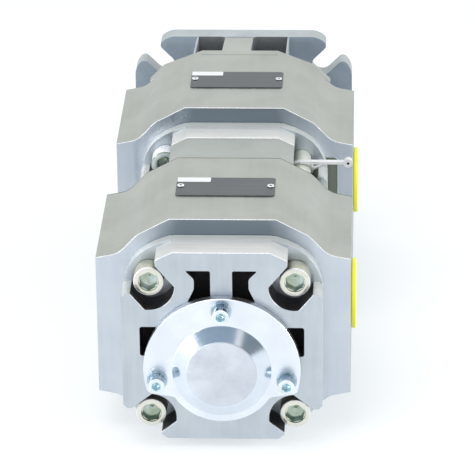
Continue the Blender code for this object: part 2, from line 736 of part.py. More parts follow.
def flange_rib(left, right, upper):
    """A rib that slopes from the casting's foot to the flange plate, above or below the shaft."""
    start = FLANGE_CASTING_FACE + FLANGE_FOOT_THICKNESS / 2
    slope_start = FLANGE_CASTING_FACE + FLANGE_FOOT_THICKNESS
    end = FLANGE_PLATE_FACE + FLANGE_PLATE_THICKNESS / 3
    middle = RING_Z + CASTING_MIDDLE
    near = middle + (HOUSING_HALF_HEIGHT - RIB_INSET) * (1 if upper else -1)
    far = SHAFT_Z + (FLANGE_HALF - RIB_INSET) * (1 if upper else -1)
    root = SHAFT_Z + RIB_REACH_IN * (1 if upper else -1)
    loop = [(start, root), (start, near), (slope_start, near),
            (FLANGE_PLATE_FACE, far), (end, far), (end, root)]
    return side_prism(loop, left, right)


def make_flange():
    """The drive flange: foot against the housing, ribbed neck, slotted plate and pilot."""
    plate = prism([flange_plate_outline()], FLANGE_PLATE_FACE, MOUNTING_FACE, SHAFT_CENTRE)
    plate.name = "flange_blank"
    chamfer(plate)
    foot = prism([casting_outline(FLANGE_FOOT_HALF, False)], FLANGE_CASTING_FACE,
                 FLANGE_CASTING_FACE + FLANGE_FOOT_THICKNESS)
    core_start = FLANGE_CASTING_FACE + FLANGE_FOOT_THICKNESS / 2
    core = cylinder(FLANGE_CORE_RADIUS, core_start, FLANGE_PLATE_FACE + OVERLAP, SHAFT_CENTRE)
    front = MOUNTING_FACE + PILOT_HEIGHT
    pilot = cylinder(PILOT_RADIUS, MOUNTING_FACE - OVERLAP, front, SHAFT_CENTRE, ROUND_LARGE)
    ribs = []
    for upper in (True, False):
        ribs.append(flange_rib(WEB_LEFT, WEB_RIGHT, upper))
        for middle in (-RIB_OFFSET, RIB_OFFSET):
            ribs.append(flange_rib(middle - RIB_THICKNESS / 2, middle + RIB_THICKNESS / 2, upper))
    web_reach = FLANGE_FOOT_HALF - RIB_INSET
    side_web = box((-web_reach, core_start, SHAFT_Z - SIDE_WEB_HALF),
                   (web_reach, FLANGE_PLATE_FACE + OVERLAP, SHAFT_Z + SIDE_WEB_HALF))
    join(plate, [foot, core, pilot, side_web] + ribs)
    seal_floor = front - CIRCLIP_INSET - CIRCLIP_THICKNESS - SHAFT_SEAL_WIDTH - 3 * GAP
    through = cylinder(FLANGE_BORE_RADIUS, FLANGE_CASTING_FACE - OVERRUN, front + OVERRUN, SHAFT_CENTRE)
    seat = cylinder(SHAFT_SEAL_RADIUS + GAP, seal_floor, front + OVERRUN, SHAFT_CENTRE)
    groove_start = front - CIRCLIP_INSET - CIRCLIP_THICKNESS - GAP
    groove_radius = SHAFT_SEAL_RADIUS + CIRCLIP_GROOVE_DEPTH + 2 * GAP
    groove = cylinder(groove_radius, groove_start, front - CIRCLIP_INSET + GAP, SHAFT_CENTRE)
    cut(plate, [through, seat, groove])
    return finish_piece(plate, "drive_flange", CAST_LOOK)


def make_shaft_seal():
    """The radial lip seal in the flange's mouth, and the circlip that keeps it in."""
    front = MOUNTING_FACE + PILOT_HEIGHT
    seal_end = front - CIRCLIP_INSET - CIRCLIP_THICKNESS - 2 * GAP
    seal_start = seal_end - SHAFT_SEAL_WIDTH
    lip = JOURNAL_RADIUS + GAP
    seal = turned(
        [(lip, seal_start + SHAFT_SEAL_LIP), (lip + SHAFT_SEAL_LIP, seal_start),
         (SHAFT_SEAL_RADIUS, seal_start), (SHAFT_SEAL_RADIUS, seal_end),
         (lip + SHAFT_SEAL_LIP, seal_end), (lip + SHAFT_SEAL_LIP, seal_end - SHAFT_SEAL_LIP)],
        SHAFT_CENTRE, closed=True)
    finish_piece(seal, "shaft_seal", RUBBER_LOOK)
    outer = SHAFT_SEAL_RADIUS + CIRCLIP_GROOVE_DEPTH
    start, end = math.radians(-90) + CIRCLIP_MOUTH / 2, math.radians(270) - CIRCLIP_MOUTH / 2
    ring = arc((0, 0), outer, start, end, ROUND_SMALL)
    ring += arc((0, 0), outer - CIRCLIP_WIDTH, end, start, ROUND_SMALL)
    clip = prism([ring], front - CIRCLIP_INSET - CIRCLIP_THICKNESS, front - CIRCLIP_INSET, SHAFT_CENTRE)
    finish_piece(clip, "seal_circlip", STEEL_LOOK)


def ring_gear_start(stage):
    return COVER_FACES[stage] + COVER_LENGTH + GEAR_INSET


def make_ring_gear(stage):
    """An internally toothed ring, with a feed hole from each tooth space to its outer face."""
    start = ring_gear_start(stage)
    spaces = gear_outline(RING_TEETH, RING_PITCH_RADIUS, RING_TIP_RADIUS, RING_ROOT_RADIUS,
                          FLANK_GAP / RING_PITCH_RADIUS)
    outer = circle((0, 0), RING_OUTER_RADIUS, 2 * RING_TEETH)
    gear = prism([outer, spaces], start, start + GEAR_WIDTH, RING_CENTRE)
    gear.name = f"ring_gear_{stage}_blank"
    tools = []
    radius = (RING_ROOT_RADIUS + RING_OUTER_RADIUS) / 2
    reach = RING_OUTER_RADIUS - RING_ROOT_RADIUS + 2 * OVERRUN
    for space in range(RING_TEETH):
        angle = 2 * math.pi * space / RING_TEETH - math.pi / 2
        bpy.ops.mesh.primitive_cylinder_add(
            vertices=4, radius=RING_FEED_HOLE_RADIUS, depth=reach,
            location=(radius * math.cos(angle), start + GEAR_WIDTH / 2, RING_Z + radius * math.sin(angle)),
            rotation=(0, math.pi / 2 - angle, 0))
        tools.append(bpy.context.object)
    cut(gear, tools)
    return finish_piece(gear, f"ring_gear_{stage}", STEEL_LOOK)


def make_pinion_shaft(stage, parent):
    """A shaft with its pinion in one piece, splined at the coupling and plain at the other end."""
    gear_start = ring_gear_start(stage)
    gear_end = gear_start + GEAR_WIDTH
    cover_face = COVER_FACES[stage]
    coupling_middle = COUPLING_FACE + COUPLING_LENGTH / 2
    if stage == 2:
        rear_end = cover_face + REAR_RECESS_DEPTH + SHAFT_FACE_GAP
        journal_end = COUPLING_FACE - SHAFT_FACE_GAP
        front_end = coupling_middle - SHAFT_FACE_GAP
        splined = (journal_end - OVERLAP, front_end)
        profile = [(0, rear_end), (JOURNAL_RADIUS - SHAFT_END_CHAMFER, rear_end),
                   (JOURNAL_RADIUS, rear_end + SHAFT_END_CHAMFER), (JOURNAL_RADIUS, journal_end),
                   (0, journal_end)]
    else:
        rear_end = coupling_middle + SHAFT_FACE_GAP
        journal_start = cover_face + SHAFT_FACE_GAP
        splined = (rear_end, journal_start + OVERLAP)
        step = MOUNTING_FACE + PILOT_HEIGHT
        profile = [(0, journal_start), (JOURNAL_RADIUS, journal_start), (JOURNAL_RADIUS, step),
                   (DRIVE_END_RADIUS, step), (DRIVE_END_RADIUS, SHAFT_END - SHAFT_END_CHAMFER),
                   (DRIVE_END_RADIUS - SHAFT_END_CHAMFER, SHAFT_END), (0, SHAFT_END)]
    shaft = turned(profile, SHAFT_CENTRE)
    shaft.name = f"pinion_shaft_{stage}_blank"
    teeth = gear_outline(PINION_TEETH, PINION_PITCH_RADIUS, PINION_ROOT_RADIUS, PINION_TIP_RADIUS,
                         -FLANK_GAP / PINION_PITCH_RADIUS)
    pinion = prism([teeth], gear_start, gear_end, SHAFT_CENTRE)
    spline = prism([spline_outline(0)], *splined, SHAFT_CENTRE)
    join(shaft, [pinion, spline])
    if stage == 1:
        cut(shaft, [key_block(GAP, KEY_BITE + GAP)])
    return finish_piece(shaft, f"pinion_shaft_{stage}", STEEL_LOOK, parent)


def key_block(growth, bite):
    """The block of the drive key, or with a growth its seat in the shaft."""
    end = SHAFT_END - KEY_END_INSET + growth
    start = end - KEY_LENGTH - 2 * growth
    bottom = SHAFT_Z + DRIVE_END_RADIUS - bite
    top = SHAFT_Z + DRIVE_END_RADIUS - KEY_BITE + KEY_HEIGHT + (OVERRUN if growth else 0)
    half = KEY_WIDTH / 2 + growth
    return box((-half, start, bottom), (half, end, top))


def make_coupling_sleeve(parent):
    """The internally splined sleeve that joins the two shafts."""
    middle = COUPLING_FACE + COUPLING_LENGTH / 2
    outer = circle((0, 0), SLEEVE_RADIUS, ROUND_MEDIUM)
    sleeve = prism([outer, spline_outline(GAP)], middle - SLEEVE_LENGTH / 2, middle + SLEEVE_LENGTH / 2,
                   SHAFT_CENTRE)
    return finish_piece(sleeve, "coupling_sleeve", STEEL_LOOK, parent)


def make_bushes(stage):
    """The two plain bearings of a stage, in the cover and in the housing's end wall."""
    cover_back = COVER_FACES[stage] + COVER_LENGTH - GAP
    wall = COVER_FACES[stage] + COVER_LENGTH + CAVITY_DEPTH
    starts = {"rear": cover_back - BUSH_LENGTH, "front": wall + GAP}
    for place, start in starts.items():
        end = start + BUSH_LENGTH
        bush = turned([(BUSH_INNER_RADIUS, start), (BUSH_OUTER_RADIUS, start), (BUSH_OUTER_RADIUS, end),
                       (BUSH_INNER_RADIUS, end)], SHAFT_CENTRE, closed=True)
        finish_piece(bush, f"{place}_bush_{stage}", BRONZE_LOOK)


def make_thrust_discs(stage):
    """The discs that seal the gears' end faces, held by the stop pin and the shaft."""
    housing_face = COVER_FACES[stage] + COVER_LENGTH
    starts = {"rear": housing_face + GAP, "front": housing_face + CAVITY_DEPTH - GAP - THRUST_DISC_THICKNESS}
    outline = circle((0, 0), CAVITY_RADIUS - GAP, ROUND_MEDIUM)
    shaft_hole = circle((0, -ECCENTRICITY), JOURNAL_RADIUS + RUNNING_GAP, ROUND_MEDIUM)
    pin_hole = circle((0, STOP_PIN_HEIGHT), STOP_PIN_RADIUS + GAP, ROUND_TINY)
    kidney = arc((0, 0), RING_ROOT_RADIUS, KIDNEY_START, KIDNEY_END, CORNER_STEPS)
    kidney += arc((0, 0), RING_TIP_RADIUS, KIDNEY_END, KIDNEY_START, CORNER_STEPS)
    for place, start in starts.items():
        disc = prism([outline, shaft_hole, pin_hole, kidney], start, start + THRUST_DISC_THICKNESS,
                     RING_CENTRE)
        finish_piece(disc, f"{place}_thrust_disc_{stage}", BRONZE_LOOK)


def crescent_radius(angle, offset, radius):
    """Distance from the ring gear's axis to a circle whose centre lies below it."""
    return -offset * math.sin(angle) + math.sqrt(radius ** 2 - (offset * math.cos(angle)) ** 2)


def crescent_band(inner, outer):
    """An outline between two circles given as (offset, radius), from the crescent's start to its end."""
    points = []
    sides = ((inner, CRESCENT_START, CRESCENT_END), (outer, CRESCENT_END, CRESCENT_START))
    for (offset, radius), first, last in sides:
        for i in range(CRESCENT_STEPS + 1):
            angle = first + (last - first) * i / CRESCENT_STEPS
            distance = crescent_radius(angle, offset, radius)
            points.append((distance * math.cos(angle), distance * math.sin(angle)))
    return points


def make_crescent(stage):
    """Stop pin, segment, segment carrier and sealing rollers between pinion and ring gear."""
    start = ring_gear_start(stage)
    end = start + GEAR_WIDTH
    housing_face = COVER_FACES[stage] + COVER_LENGTH
    pin_start = housing_face - STOP_PIN_SEAT_DEPTH
    pin_end = housing_face + CAVITY_DEPTH + STOP_PIN_SEAT_DEPTH - GAP
    pin = cylinder(STOP_PIN_RADIUS, pin_start, pin_end, (0, RING_Z + STOP_PIN_HEIGHT), ROUND_TINY)
    finish_piece(pin, f"stop_pin_{stage}", STEEL_LOOK)
    inner = (ECCENTRICITY, CRESCENT_INNER_RADIUS)
    outer = (0, CRESCENT_OUTER_RADIUS)
    carrier = crescent_band(inner, (SPLIT_OFFSET, SPLIT_RADIUS - SPLIT_SLOT))
    segment = crescent_band((SPLIT_OFFSET, SPLIT_RADIUS + SPLIT_SLOT), outer)
    places = []
    for angle in SEAL_ROLLER_ANGLES:
        distance = crescent_radius(angle, SPLIT_OFFSET, SPLIT_RADIUS)
        places.append((distance * math.cos(angle), RING_Z + distance * math.sin(angle)))
    for name, band in (("segment_carrier", carrier), ("crescent_segment", segment)):
        piece = prism([band], start, end, RING_CENTRE)
        piece.name = f"{name}_{stage}_blank"
        cut(piece, [cylinder(SEAL_ROLLER_RADIUS + GAP / 2, start - OVERRUN, end + OVERRUN, place, ROUND_TINY)
                    for place in places])
        finish_piece(piece, f"{name}_{stage}", BRONZE_LOOK)
    for name, place in zip(("upper", "lower"), places):
        roller = cylinder(SEAL_ROLLER_RADIUS - GAP / 2, start, end, place, ROUND_TINY)
        finish_piece(roller, f"{name}_seal_roller_{stage}", STEEL_LOOK)


def make_seal_ring(name, radius, centre, y):
    """A round cord ring."""
    bpy.ops.mesh.primitive_torus_add(
        major_segments=ROUND_MEDIUM, minor_segments=4, major_radius=radius, minor_radius=CORD_RADIUS,
        location=(centre[0], y, centre[1]), rotation=(math.pi / 2, 0, 0))
    return finish_piece(bpy.context.object, name, RUBBER_LOOK)


def socket_screw(name, radius, length, head_radius, head_height, hex_width, hex_depth, place, seat, look):
    """A socket head screw along Y whose head rests at seat and points to the rear."""
    top = seat - GAP - head_height
    edge = head_height * HEAD_EDGE_SHARE
    profile = [(0, top), (head_radius - edge, top), (head_radius, top + edge), (head_radius, seat - GAP),
               (radius, seat - GAP), (radius, seat + length), (0, seat + length)]
    screw = turned(profile, place, ROUND_SMALL)
    screw.name = name + "_blank"
    corner_radius = hex_width / 2 / math.cos(math.pi / 6)
    cut(screw, [cylinder(corner_radius, top - OVERRUN, top + hex_depth, place, 6)])
    return finish_piece(screw, name, look)


def make_cover_screws(stage):
    """The four screws that hold a cover on its housing, in the cover's corner pockets."""
    seat = COVER_FACES[stage] + COVER_LENGTH - COVER_FOOT_THICKNESS
    for corner, (x, z) in zip(SCREW_CORNERS, SCREW_PLACES):
        socket_screw(f"cover_screw_{stage}_{corner}", SCREW_RADIUS, SCREW_LENGTH, SCREW_HEAD_RADIUS,
                     SCREW_HEAD_HEIGHT, SCREW_HEX, SCREW_HEX_DEPTH, (x, RING_Z + z), seat, ZINC_LOOK)


def cap_screw_place(angle):
    return (CAP_SCREW_CIRCLE * math.cos(angle), SHAFT_Z + CAP_SCREW_CIRCLE * math.sin(angle))


def make_cap():
    """The rear cap: a plate cut away below, a raised cone, a spigot and three screw holes."""
    face = REAR_FACE - GAP
    top = face - CAP_THICKNESS
    ear = math.asin(CAP_LOWER_CHORD / CAP_RADIUS)
    lower_start = math.asin(CAP_LOWER_START / CAP_LOWER_RADIUS)
    upper = arc((0, 0), CAP_RADIUS, -ear, math.pi + ear, ROUND_MEDIUM)
    lower = arc((0, 0), CAP_LOWER_RADIUS, math.pi + lower_start, 2 * math.pi - lower_start, ROUND_SMALL)
    cap = prism([upper + lower], top, face, SHAFT_CENTRE)
    cap.name = "rear_cap_blank"
    boss_top = top - CAP_BOSS_HEIGHT
    spigot_end = face + CAP_SPIGOT_LENGTH
    boss = turned([(0, boss_top), (CAP_BOSS_TOP_RADIUS, boss_top), (CAP_BOSS_BASE_RADIUS, top),
                   (CAP_SPIGOT_RADIUS, top + OVERRUN), (CAP_SPIGOT_RADIUS, spigot_end), (0, spigot_end)],
                  SHAFT_CENTRE)
    join(cap, [boss])
    cut(cap, [cylinder(CAP_SCREW_RADIUS + BOLT_GAP, top - OVERRUN, face + OVERRUN, cap_screw_place(angle),
                       ROUND_TINY) for angle in CAP_SCREW_ANGLES])
    finish_piece(cap, "rear_cap", CAP_LOOK)


def make_cap_fixings():
    """The three screws and washers of the rear cap."""
    for place_name, angle in zip(("top", "right", "left"), CAP_SCREW_ANGLES):
        place = cap_screw_place(angle)
        washer_end = REAR_FACE - GAP - CAP_THICKNESS - GAP
        washer_start = washer_end - WASHER_THICKNESS
        washer = turned([(CAP_SCREW_RADIUS + BOLT_GAP, washer_start), (WASHER_RADIUS, washer_start),
                         (WASHER_RADIUS, washer_end), (CAP_SCREW_RADIUS + BOLT_GAP, washer_end)],
                        place, ROUND_SMALL, closed=True)
        finish_piece(washer, f"cap_washer_{place_name}", BRIGHT_ZINC_LOOK)
        socket_screw(f"cap_screw_{place_name}", CAP_SCREW_RADIUS, CAP_SCREW_LENGTH, CAP_SCREW_HEAD_RADIUS,
                     CAP_SCREW_HEAD_HEIGHT, CAP_SCREW_HEX, CAP_SCREW_HEX_DEPTH, place, washer_start,
                     BRIGHT_ZINC_LOOK)


def plate_y(stage):
    return COVER_FACES[stage] + COVER_LENGTH + HOUSING_LENGTH / 2 + PLATE_Y_OFFSET


def make_nameplate(stage):
    """The bare plate on a housing's top flat, with its two rivets."""
    y = plate_y(stage)
    bottom = CASTING_TOP + GAP
    top = bottom + PLATE_THICKNESS
    plate = box((-PLATE_WIDTH / 2, y - PLATE_LENGTH / 2, bottom),
                (PLATE_WIDTH / 2, y + PLATE_LENGTH / 2, top))
    plate.name = f"nameplate_{stage}_blank"
    sides = {"left": -RIVET_SPACING / 2, "right": RIVET_SPACING / 2}
    cut(plate, [cylinder(RIVET_SHANK_RADIUS + GAP, bottom - OVERRUN, top + OVERRUN, (x, y), ROUND_TINY, "Z")
                for x in sides.values()])
    finish_piece(plate, f"nameplate_{stage}", PLATE_LOOK)
    for side, x in sides.items():
        shank_end = CASTING_TOP - RIVET_SHANK_LENGTH
        rivet = cylinder(RIVET_RADIUS, top + GAP, top + GAP + RIVET_HEAD_HEIGHT, (x, y), ROUND_TINY, "Z")
        rivet.name = f"rivet_{stage}_{side}_blank"
        join(rivet, [cylinder(RIVET_SHANK_RADIUS, shank_end, top + GAP + RIVET_HEAD_HEIGHT / 2, (x, y),
                              ROUND_TINY, "Z")])
        finish_piece(rivet, f"rivet_{stage}_{side}", BRIGHT_ZINC_LOOK)


def make_port_cap(stage):
    """The protective disc on the pressure port."""
    middle = COVER_FACES[stage] + COVER_LENGTH + HOUSING_LENGTH / 2
    start = HOUSING_HALF_WIDTH + GAP
    disc = cylinder(PORT_CAP_RADIUS, start, start + PORT_CAP_THICKNESS, (middle, RING_Z + CASTING_MIDDLE),
                    ROUND_MEDIUM, "X")
    disc.name = f"port_cap_{stage}_blank"
    plug = cylinder(PRESSURE_PORT_RADIUS - RUNNING_GAP, start - PORT_CAP_PLUG, start + PORT_CAP_THICKNESS / 2,
                    (middle, RING_Z + CASTING_MIDDLE), ROUND_MEDIUM, "X")
    join(disc, [plug])
    finish_piece(disc, f"port_cap_{stage}", YELLOW_LOOK)


def make_strap():
    """The plastic strap looped round the head of stage 1's upper right cover screw."""
    screw_x, screw_z = SCREW_SPACING / 2, RING_Z + SCREW_SPACING / 2
    head_top = COVER_FACES[1] + COVER_LENGTH - COVER_FOOT_THICKNESS - SCREW_HEAD_HEIGHT
    start = head_top + STRAP_INSET
    inner = SCREW_HEAD_RADIUS + GAP
    outer = inner + STRAP_WALL
    loop = prism([circle((0, 0), outer, ROUND_SMALL), circle((0, 0), inner, ROUND_SMALL)],
                 start, start + STRAP_WIDTH, (screw_x, screw_z))
    loop.name = "strap_blank"
    eye = (STRAP_EYE_X, RING_Z + STRAP_EYE_Z)
    half = STRAP_WALL / 2
    leave_x = screw_x + (inner + half) * math.cos(STRAP_LEAVE_ANGLE)
    leave_z = screw_z + (inner + half) * math.sin(STRAP_LEAVE_ANGLE)
    tail = prism([[(leave_x, leave_z - half), (eye[0], eye[1] - half), (eye[0], eye[1] + half),
                   (leave_x, leave_z + half)]], start, start + STRAP_WIDTH)
    eyelet = cylinder(STRAP_EYE_RADIUS, start - STRAP_EYE_GROWTH, start + STRAP_WIDTH + STRAP_EYE_GROWTH, eye,
                      ROUND_TINY)
    join(loop, [tail, eyelet])
    finish_piece(loop, "seal_strap", STRAP_LOOK)


def build():
    rotor_axis = bpy.data.objects.new("rotor_axis", None)
    rotor_axis.location = (0, 0, SHAFT_Z)
    PUMP.objects.link(rotor_axis)
    bpy.context.view_layer.update()
    for stage in (1, 2):
        make_cover(stage)
        make_housing(stage)
        make_ring_gear(stage)
        make_pinion_shaft(stage, rotor_axis)
        make_bushes(stage)
        make_thrust_discs(stage)
        make_crescent(stage)
        make_cover_screws(stage)
        make_nameplate(stage)
        make_port_cap(stage)
        make_seal_ring(f"cover_seal_{stage}", COVER_SEAL_RADIUS, RING_CENTRE,
                       COVER_FACES[stage] + COVER_LENGTH + CORD_RADIUS)
    make_coupling_housing()
    make_coupling_sleeve(rotor_axis)
    make_flange()
    make_shaft_seal()
    key = key_block(0, KEY_BITE)
    finish_piece(key, "drive_key", STEEL_LOOK, rotor_axis)
    make_cap()
    make_cap_fixings()
    make_strap()


build()
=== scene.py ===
"""Studio view of a tandem internal gear pump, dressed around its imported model.

X runs to the right as seen from the rear cap, Y along the shafts towards the drive end, Z up.
Castings, screws, cap, plates and strap are made here as fine pieces in the places of the plain
ones. All sizes are in metres and radians, unless a name says otherwise.
"""
import contextlib
import math

import bmesh
import bpy
from mathutils import Matrix, Vector


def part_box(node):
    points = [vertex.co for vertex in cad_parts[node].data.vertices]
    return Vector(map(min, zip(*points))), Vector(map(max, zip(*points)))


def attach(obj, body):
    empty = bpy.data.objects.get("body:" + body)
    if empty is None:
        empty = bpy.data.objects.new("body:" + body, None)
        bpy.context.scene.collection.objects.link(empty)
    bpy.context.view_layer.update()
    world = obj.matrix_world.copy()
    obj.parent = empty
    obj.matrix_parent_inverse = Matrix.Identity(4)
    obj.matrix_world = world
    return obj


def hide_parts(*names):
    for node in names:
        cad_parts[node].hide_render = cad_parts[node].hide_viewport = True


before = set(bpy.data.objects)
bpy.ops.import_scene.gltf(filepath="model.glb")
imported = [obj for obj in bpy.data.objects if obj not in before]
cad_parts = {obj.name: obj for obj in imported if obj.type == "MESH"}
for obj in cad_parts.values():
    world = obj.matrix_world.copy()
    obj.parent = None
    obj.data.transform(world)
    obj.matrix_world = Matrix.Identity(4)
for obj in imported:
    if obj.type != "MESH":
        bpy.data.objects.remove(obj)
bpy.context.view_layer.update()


def low(node):
    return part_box(node)[0]


def high(node):
    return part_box(node)[1]


# Clearances
GAP = 0.0003
RUNNING_GAP = 0.0005
BOLT_GAP = 0.0004
OVERRUN = 0.002
OVERLAP = 0.003

# Heights of the two axes and the main faces along the shafts
SHAFT_Z = 0.0975
RING_Z = 0.1095
SHAFT = (0.0, SHAFT_Z)
RING = (0.0, RING_Z)
COVER_FACE = {stage: low(f"bearing_cover_{stage}").y for stage in (1, 2)}
HOUSING_FACE = {stage: low(f"housing_{stage}").y for stage in (1, 2)}
HOUSING_END = {stage: high(f"housing_{stage}").y for stage in (1, 2)}
FLANGE_FOOT = low("drive_flange").y
FLANGE_FRONT = high("drive_flange").y

# Housings, seen along the shafts
HOUSING_HALF_WIDTH = high("housing_1").x
CASTING_MIDDLE = RING_Z + 0.007
HOUSING_HALF_HEIGHT = 0.0913
CASTING_TOP = CASTING_MIDDLE + HOUSING_HALF_HEIGHT
TOP_FLAT_HALF = 0.0417
SHOULDER_HALF = 0.0665
SHOULDER_DROP = 0.0132
KNEE_SLOPE = -0.90
CURVE_REACH = 0.45
SHELF_HALF = 0.0885
SHELF_DROP = 0.0310
WING_EDGE_DROP = 0.0332
CAVITY_RADIUS = 0.0525
CAVITY_DEPTH = 0.0852
BEARING_BORE_RADIUS = 0.0243
FLANGE_FOOT_HALF = 0.079
SIDE_RECESS = (0.0700, 0.0869, 0.0534, -0.0400, 0.0025)  # left, right, top, bottom, depth
RECESS_CORNER = 0.0035
RECESS_LIP = 0.0007
LIP_CORNER = 0.0038

# Ports: radius and the thread spacings along Z and Y, for the left and the right side
PORTS = {-1: (0.025, 0.0778, 0.0429), 1: (0.019, 0.0699, 0.0357)}
PORT_THREAD_RADIUS = 0.006
PORT_THREAD_DEPTH = 0.024
PORT_BITE = 0.012

# Covers
COVER_FOOT_THICKNESS = 0.0105
COVER_HALF_WIDTH = 0.0783
COVER_TOP = 0.0854
COVER_BOTTOM = 0.0752
COVER_UPPER = (0.0378, 0.0512, 0.0066, 0.0503)  # half of the flat, shoulder, its drop, side's end
COVER_LOWER = (0.0437, 0.0484, 0.0036, 0.0490)
COVER_SIDE_CHAMFER = 0.0030
COVER_FOOT_CORNER = [(0.0415, 0.0849), (0.0510, 0.0816), (0.0590, 0.0776), (0.0660, 0.0726),
                     (0.0710, 0.0668), (0.0750, 0.0590), (0.0775, 0.0520), (0.0788, 0.0440)]
COVER_FOOT_LOWER = 0.0078
POCKET_RADIUS = 0.0205
POCKET_HALF_WIDTH = 0.0152
POCKET_FLOOR_DEPTH = 0.0004
POCKET_REACH = 0.0700
COVER_EDGE = 0.0004
HOUSING_EDGE = 0.0004
REAR_EDGE = 0.0014
# broken edges above this height over the ring's axis keep their painted highlight
PAINTED_HIGHLIGHT_EDGE_FROM = 0.0400
SPOT_FACE_RADIUS = 0.0133
COVER_RECESS_DEPTH = 0.006
WINDOW_DEPTH = 0.019
UPPER_WINDOW = [(0.0085, 0.0700), (0.0280, 0.0700), (0.0212, 0.0630), (0.0212, 0.0546),
                (0.0280, 0.0400), (0.0085, 0.0400)]
UPPER_WINDOW_CORNER = 0.0016
SIDE_WINDOW = [(0.0420, 0.0220), (0.0642, 0.0220), (0.0642, -0.0030), (0.0420, -0.0030)]
SIDE_WINDOW_CORNER = 0.0020

# Screws
SCREW_SPACING = 0.1138
SCREW_RADIUS = 0.008
SCREW_HEAD_RADIUS = 0.012
SCREW_LENGTH = 0.070
SCREW_HEX = 0.014
SCREW_HEX_DEPTH = 0.008
SCREW_EDGE = 0.0009
LOWER_SOCKET_TURN = 17
EDGE_BEND = 0.3
SOCKET_DRILL = 0.46
SCREW_CORNERS = {"top_left": (-1, 1), "top_right": (1, 1), "bottom_left": (-1, -1),
                 "bottom_right": (1, -1)}
SCREW_HOLE_DEPTH = 0.066
STUD_END_GAP = 0.002

# Rear cap
CAP_RADIUS = 0.0615
CAP_LOWER_RADIUS = 0.0440
CAP_THICKNESS = 0.007
CAP_BOSS_HEIGHT = 0.0062
CAP_BOSS_BASE_RADIUS = 0.0388
CAP_BOSS_TOP_RADIUS = 0.0278
CAP_SPIGOT_RADIUS = 0.0290
CAP_SPIGOT_LENGTH = 0.0040
CAP_LOWER_CHORD = 0.0200
CAP_LOWER_START = 0.0230
CAP_RIM_CHAMFER = 0.0005
CAP_MIDDLE_STEPS = (0.0060, 0.0150)
CAP_TOP_ROUND = (0.0008, 0.0003)  # inwards, along Y
CAP_BASE_ROUND = (0.0004, 0.0002)
CAP_PLATE_STEP = 0.0460
CAP_STEPS = 144
CAP_SCREW_CIRCLE = 0.0513
CAP_SCREWS = {"top": 90, "right": -9.5, "left": 189.5}  # degrees
CAP_SCREW_RADIUS = 0.004
CAP_SCREW_HEAD_RADIUS = 0.0065
CAP_SCREW_HEAD_HEIGHT = 0.008
CAP_SCREW_LENGTH = 0.022
CAP_SCREW_HEX = 0.0066
CAP_SCREW_HEX_DEPTH = 0.004
CAP_SCREW_EDGE = 0.0006
CAP_SOCKET_TURN = 8
CAP_THREAD_DEPTH = 0.018
WASHER_RADIUS = 0.008
WASHER_THICKNESS = 0.0016
WASHER_EDGE = 0.0002
SPRING_WASHER_RADIUS = 0.0069
SPRING_WASHER_THICKNESS = 0.0020
SPRING_WASHER_EDGE = 0.0003

# Plates, rivets, discs and strap
PLATE_HALF_SIZE = (0.0394, 0.0178)
PLATE_SHIFT = -0.0010
RIVET_X = 0.0358
PLATE_CORNER = 0.0028
PLATE_FIELD = (0.0004, 0.0266, 0.0086)  # inset, width, depth
PLATE_FIELD_HEIGHT = 0.0001
PLATE_FIELD_CORNER = 0.0008
PLATE_EDGE = 0.00015
RIVET_RADIUS = 0.0028
RIVET_HOLE_RADIUS = 0.0010
RIVET_HEIGHT = 0.0009
RIVET_EDGE = 0.0003
PORT_CAP_EDGE = 0.0012
STRAP_WALL = 0.0024
STRAP_EDGE = 0.0005
STRAP_WIDTH = 0.0056
STRAP_INSET = 0.0085
STRAP_EYE_RADIUS = 0.0037
STRAP_EYE_X = 0.0962
STRAP_HOLE_RADIUS = 0.0011
STRAP_JOIN_X = 0.0800
STRAP_JOIN_ANGLE = -12

# Drive shaft with its pinion
TEETH = 13
MODULE = 0.004
PRESSURE_ANGLE = math.radians(30)
TOOTH_ADDENDUM = 0.0032
ROOT_CLEARANCE = 0.0008
FLANK_GAP = 0.00016
FLANK_POINTS = 7
GEAR_INSET = 0.0066
GEAR_WIDTH = 0.072
SPLINE_TEETH = 10
SPLINE_RADII = (0.0130, 0.0155)
SPLINE_SHARES = (0.58, 0.40)
JOURNAL_RADIUS = 0.020
JOURNAL_INSET = 0.001
DRIVE_END_RADIUS = 0.019
SHAFT_END_CHAMFER = 0.0015
CENTRE_HOLE_RADIUS = 0.0050
CENTRE_HOLE_DEPTH = 0.022
CENTRE_HOLE_MOUTH = 0.0070
SEAL_LIP = 0.003
SEAL_EDGE = 0.0003
KEY_EDGE = 0.0005
STEEL_EDGE = 0.0002

# Coupling housing and drive flange
COUPLING_BORE_RADIUS = 0.027
FLANGE_HALF = 0.0975
FLANGE_CORNER_RADIUS = 0.118
FLANGE_PLATE_THICKNESS = 0.018
FLANGE_FOOT_THICKNESS = 0.010
FLANGE_CORE_RADIUS = 0.062
FLANGE_BORE_RADIUS = 0.023
SLOT_WIDTH = 0.0185
BOLT_CIRCLE_RADIUS = 0.100
PILOT_RADIUS = 0.080
PILOT_HEIGHT = 0.009
MOUNTING_FACE = FLANGE_FRONT - PILOT_HEIGHT
PLATE_FACE = MOUNTING_FACE - FLANGE_PLATE_THICKNESS
FOOT_FLAT_HALF = 0.0330
OUTER_RIB_X = 0.0413
OUTER_RIB_THICKNESS = 0.0015
CENTRE_RIB = (-0.0160, 0.0092)
RIB_INSET = 0.0005
RIB_REACH_IN = 0.030
OPENING_FLOOR = 0.0420
OPENING_RIB_HALF = 0.0100
OPENING_REACH = 0.1120
OPENING_ROUND = 0.0035
FLANGE_CORNER_ROUND = 0.0055
FLANGE_EDGE = 0.0009
SIDE_WEB_HALF = 0.0120
SEAL_RADIUS = 0.031
SEAL_WIDTH = 0.010
CIRCLIP_THICKNESS = 0.0015
CIRCLIP_INSET = 0.0040
CIRCLIP_GROOVE_DEPTH = 0.0012
CIRCLIP_WIDTH = 0.0030
CIRCLIP_MOUTH = 24
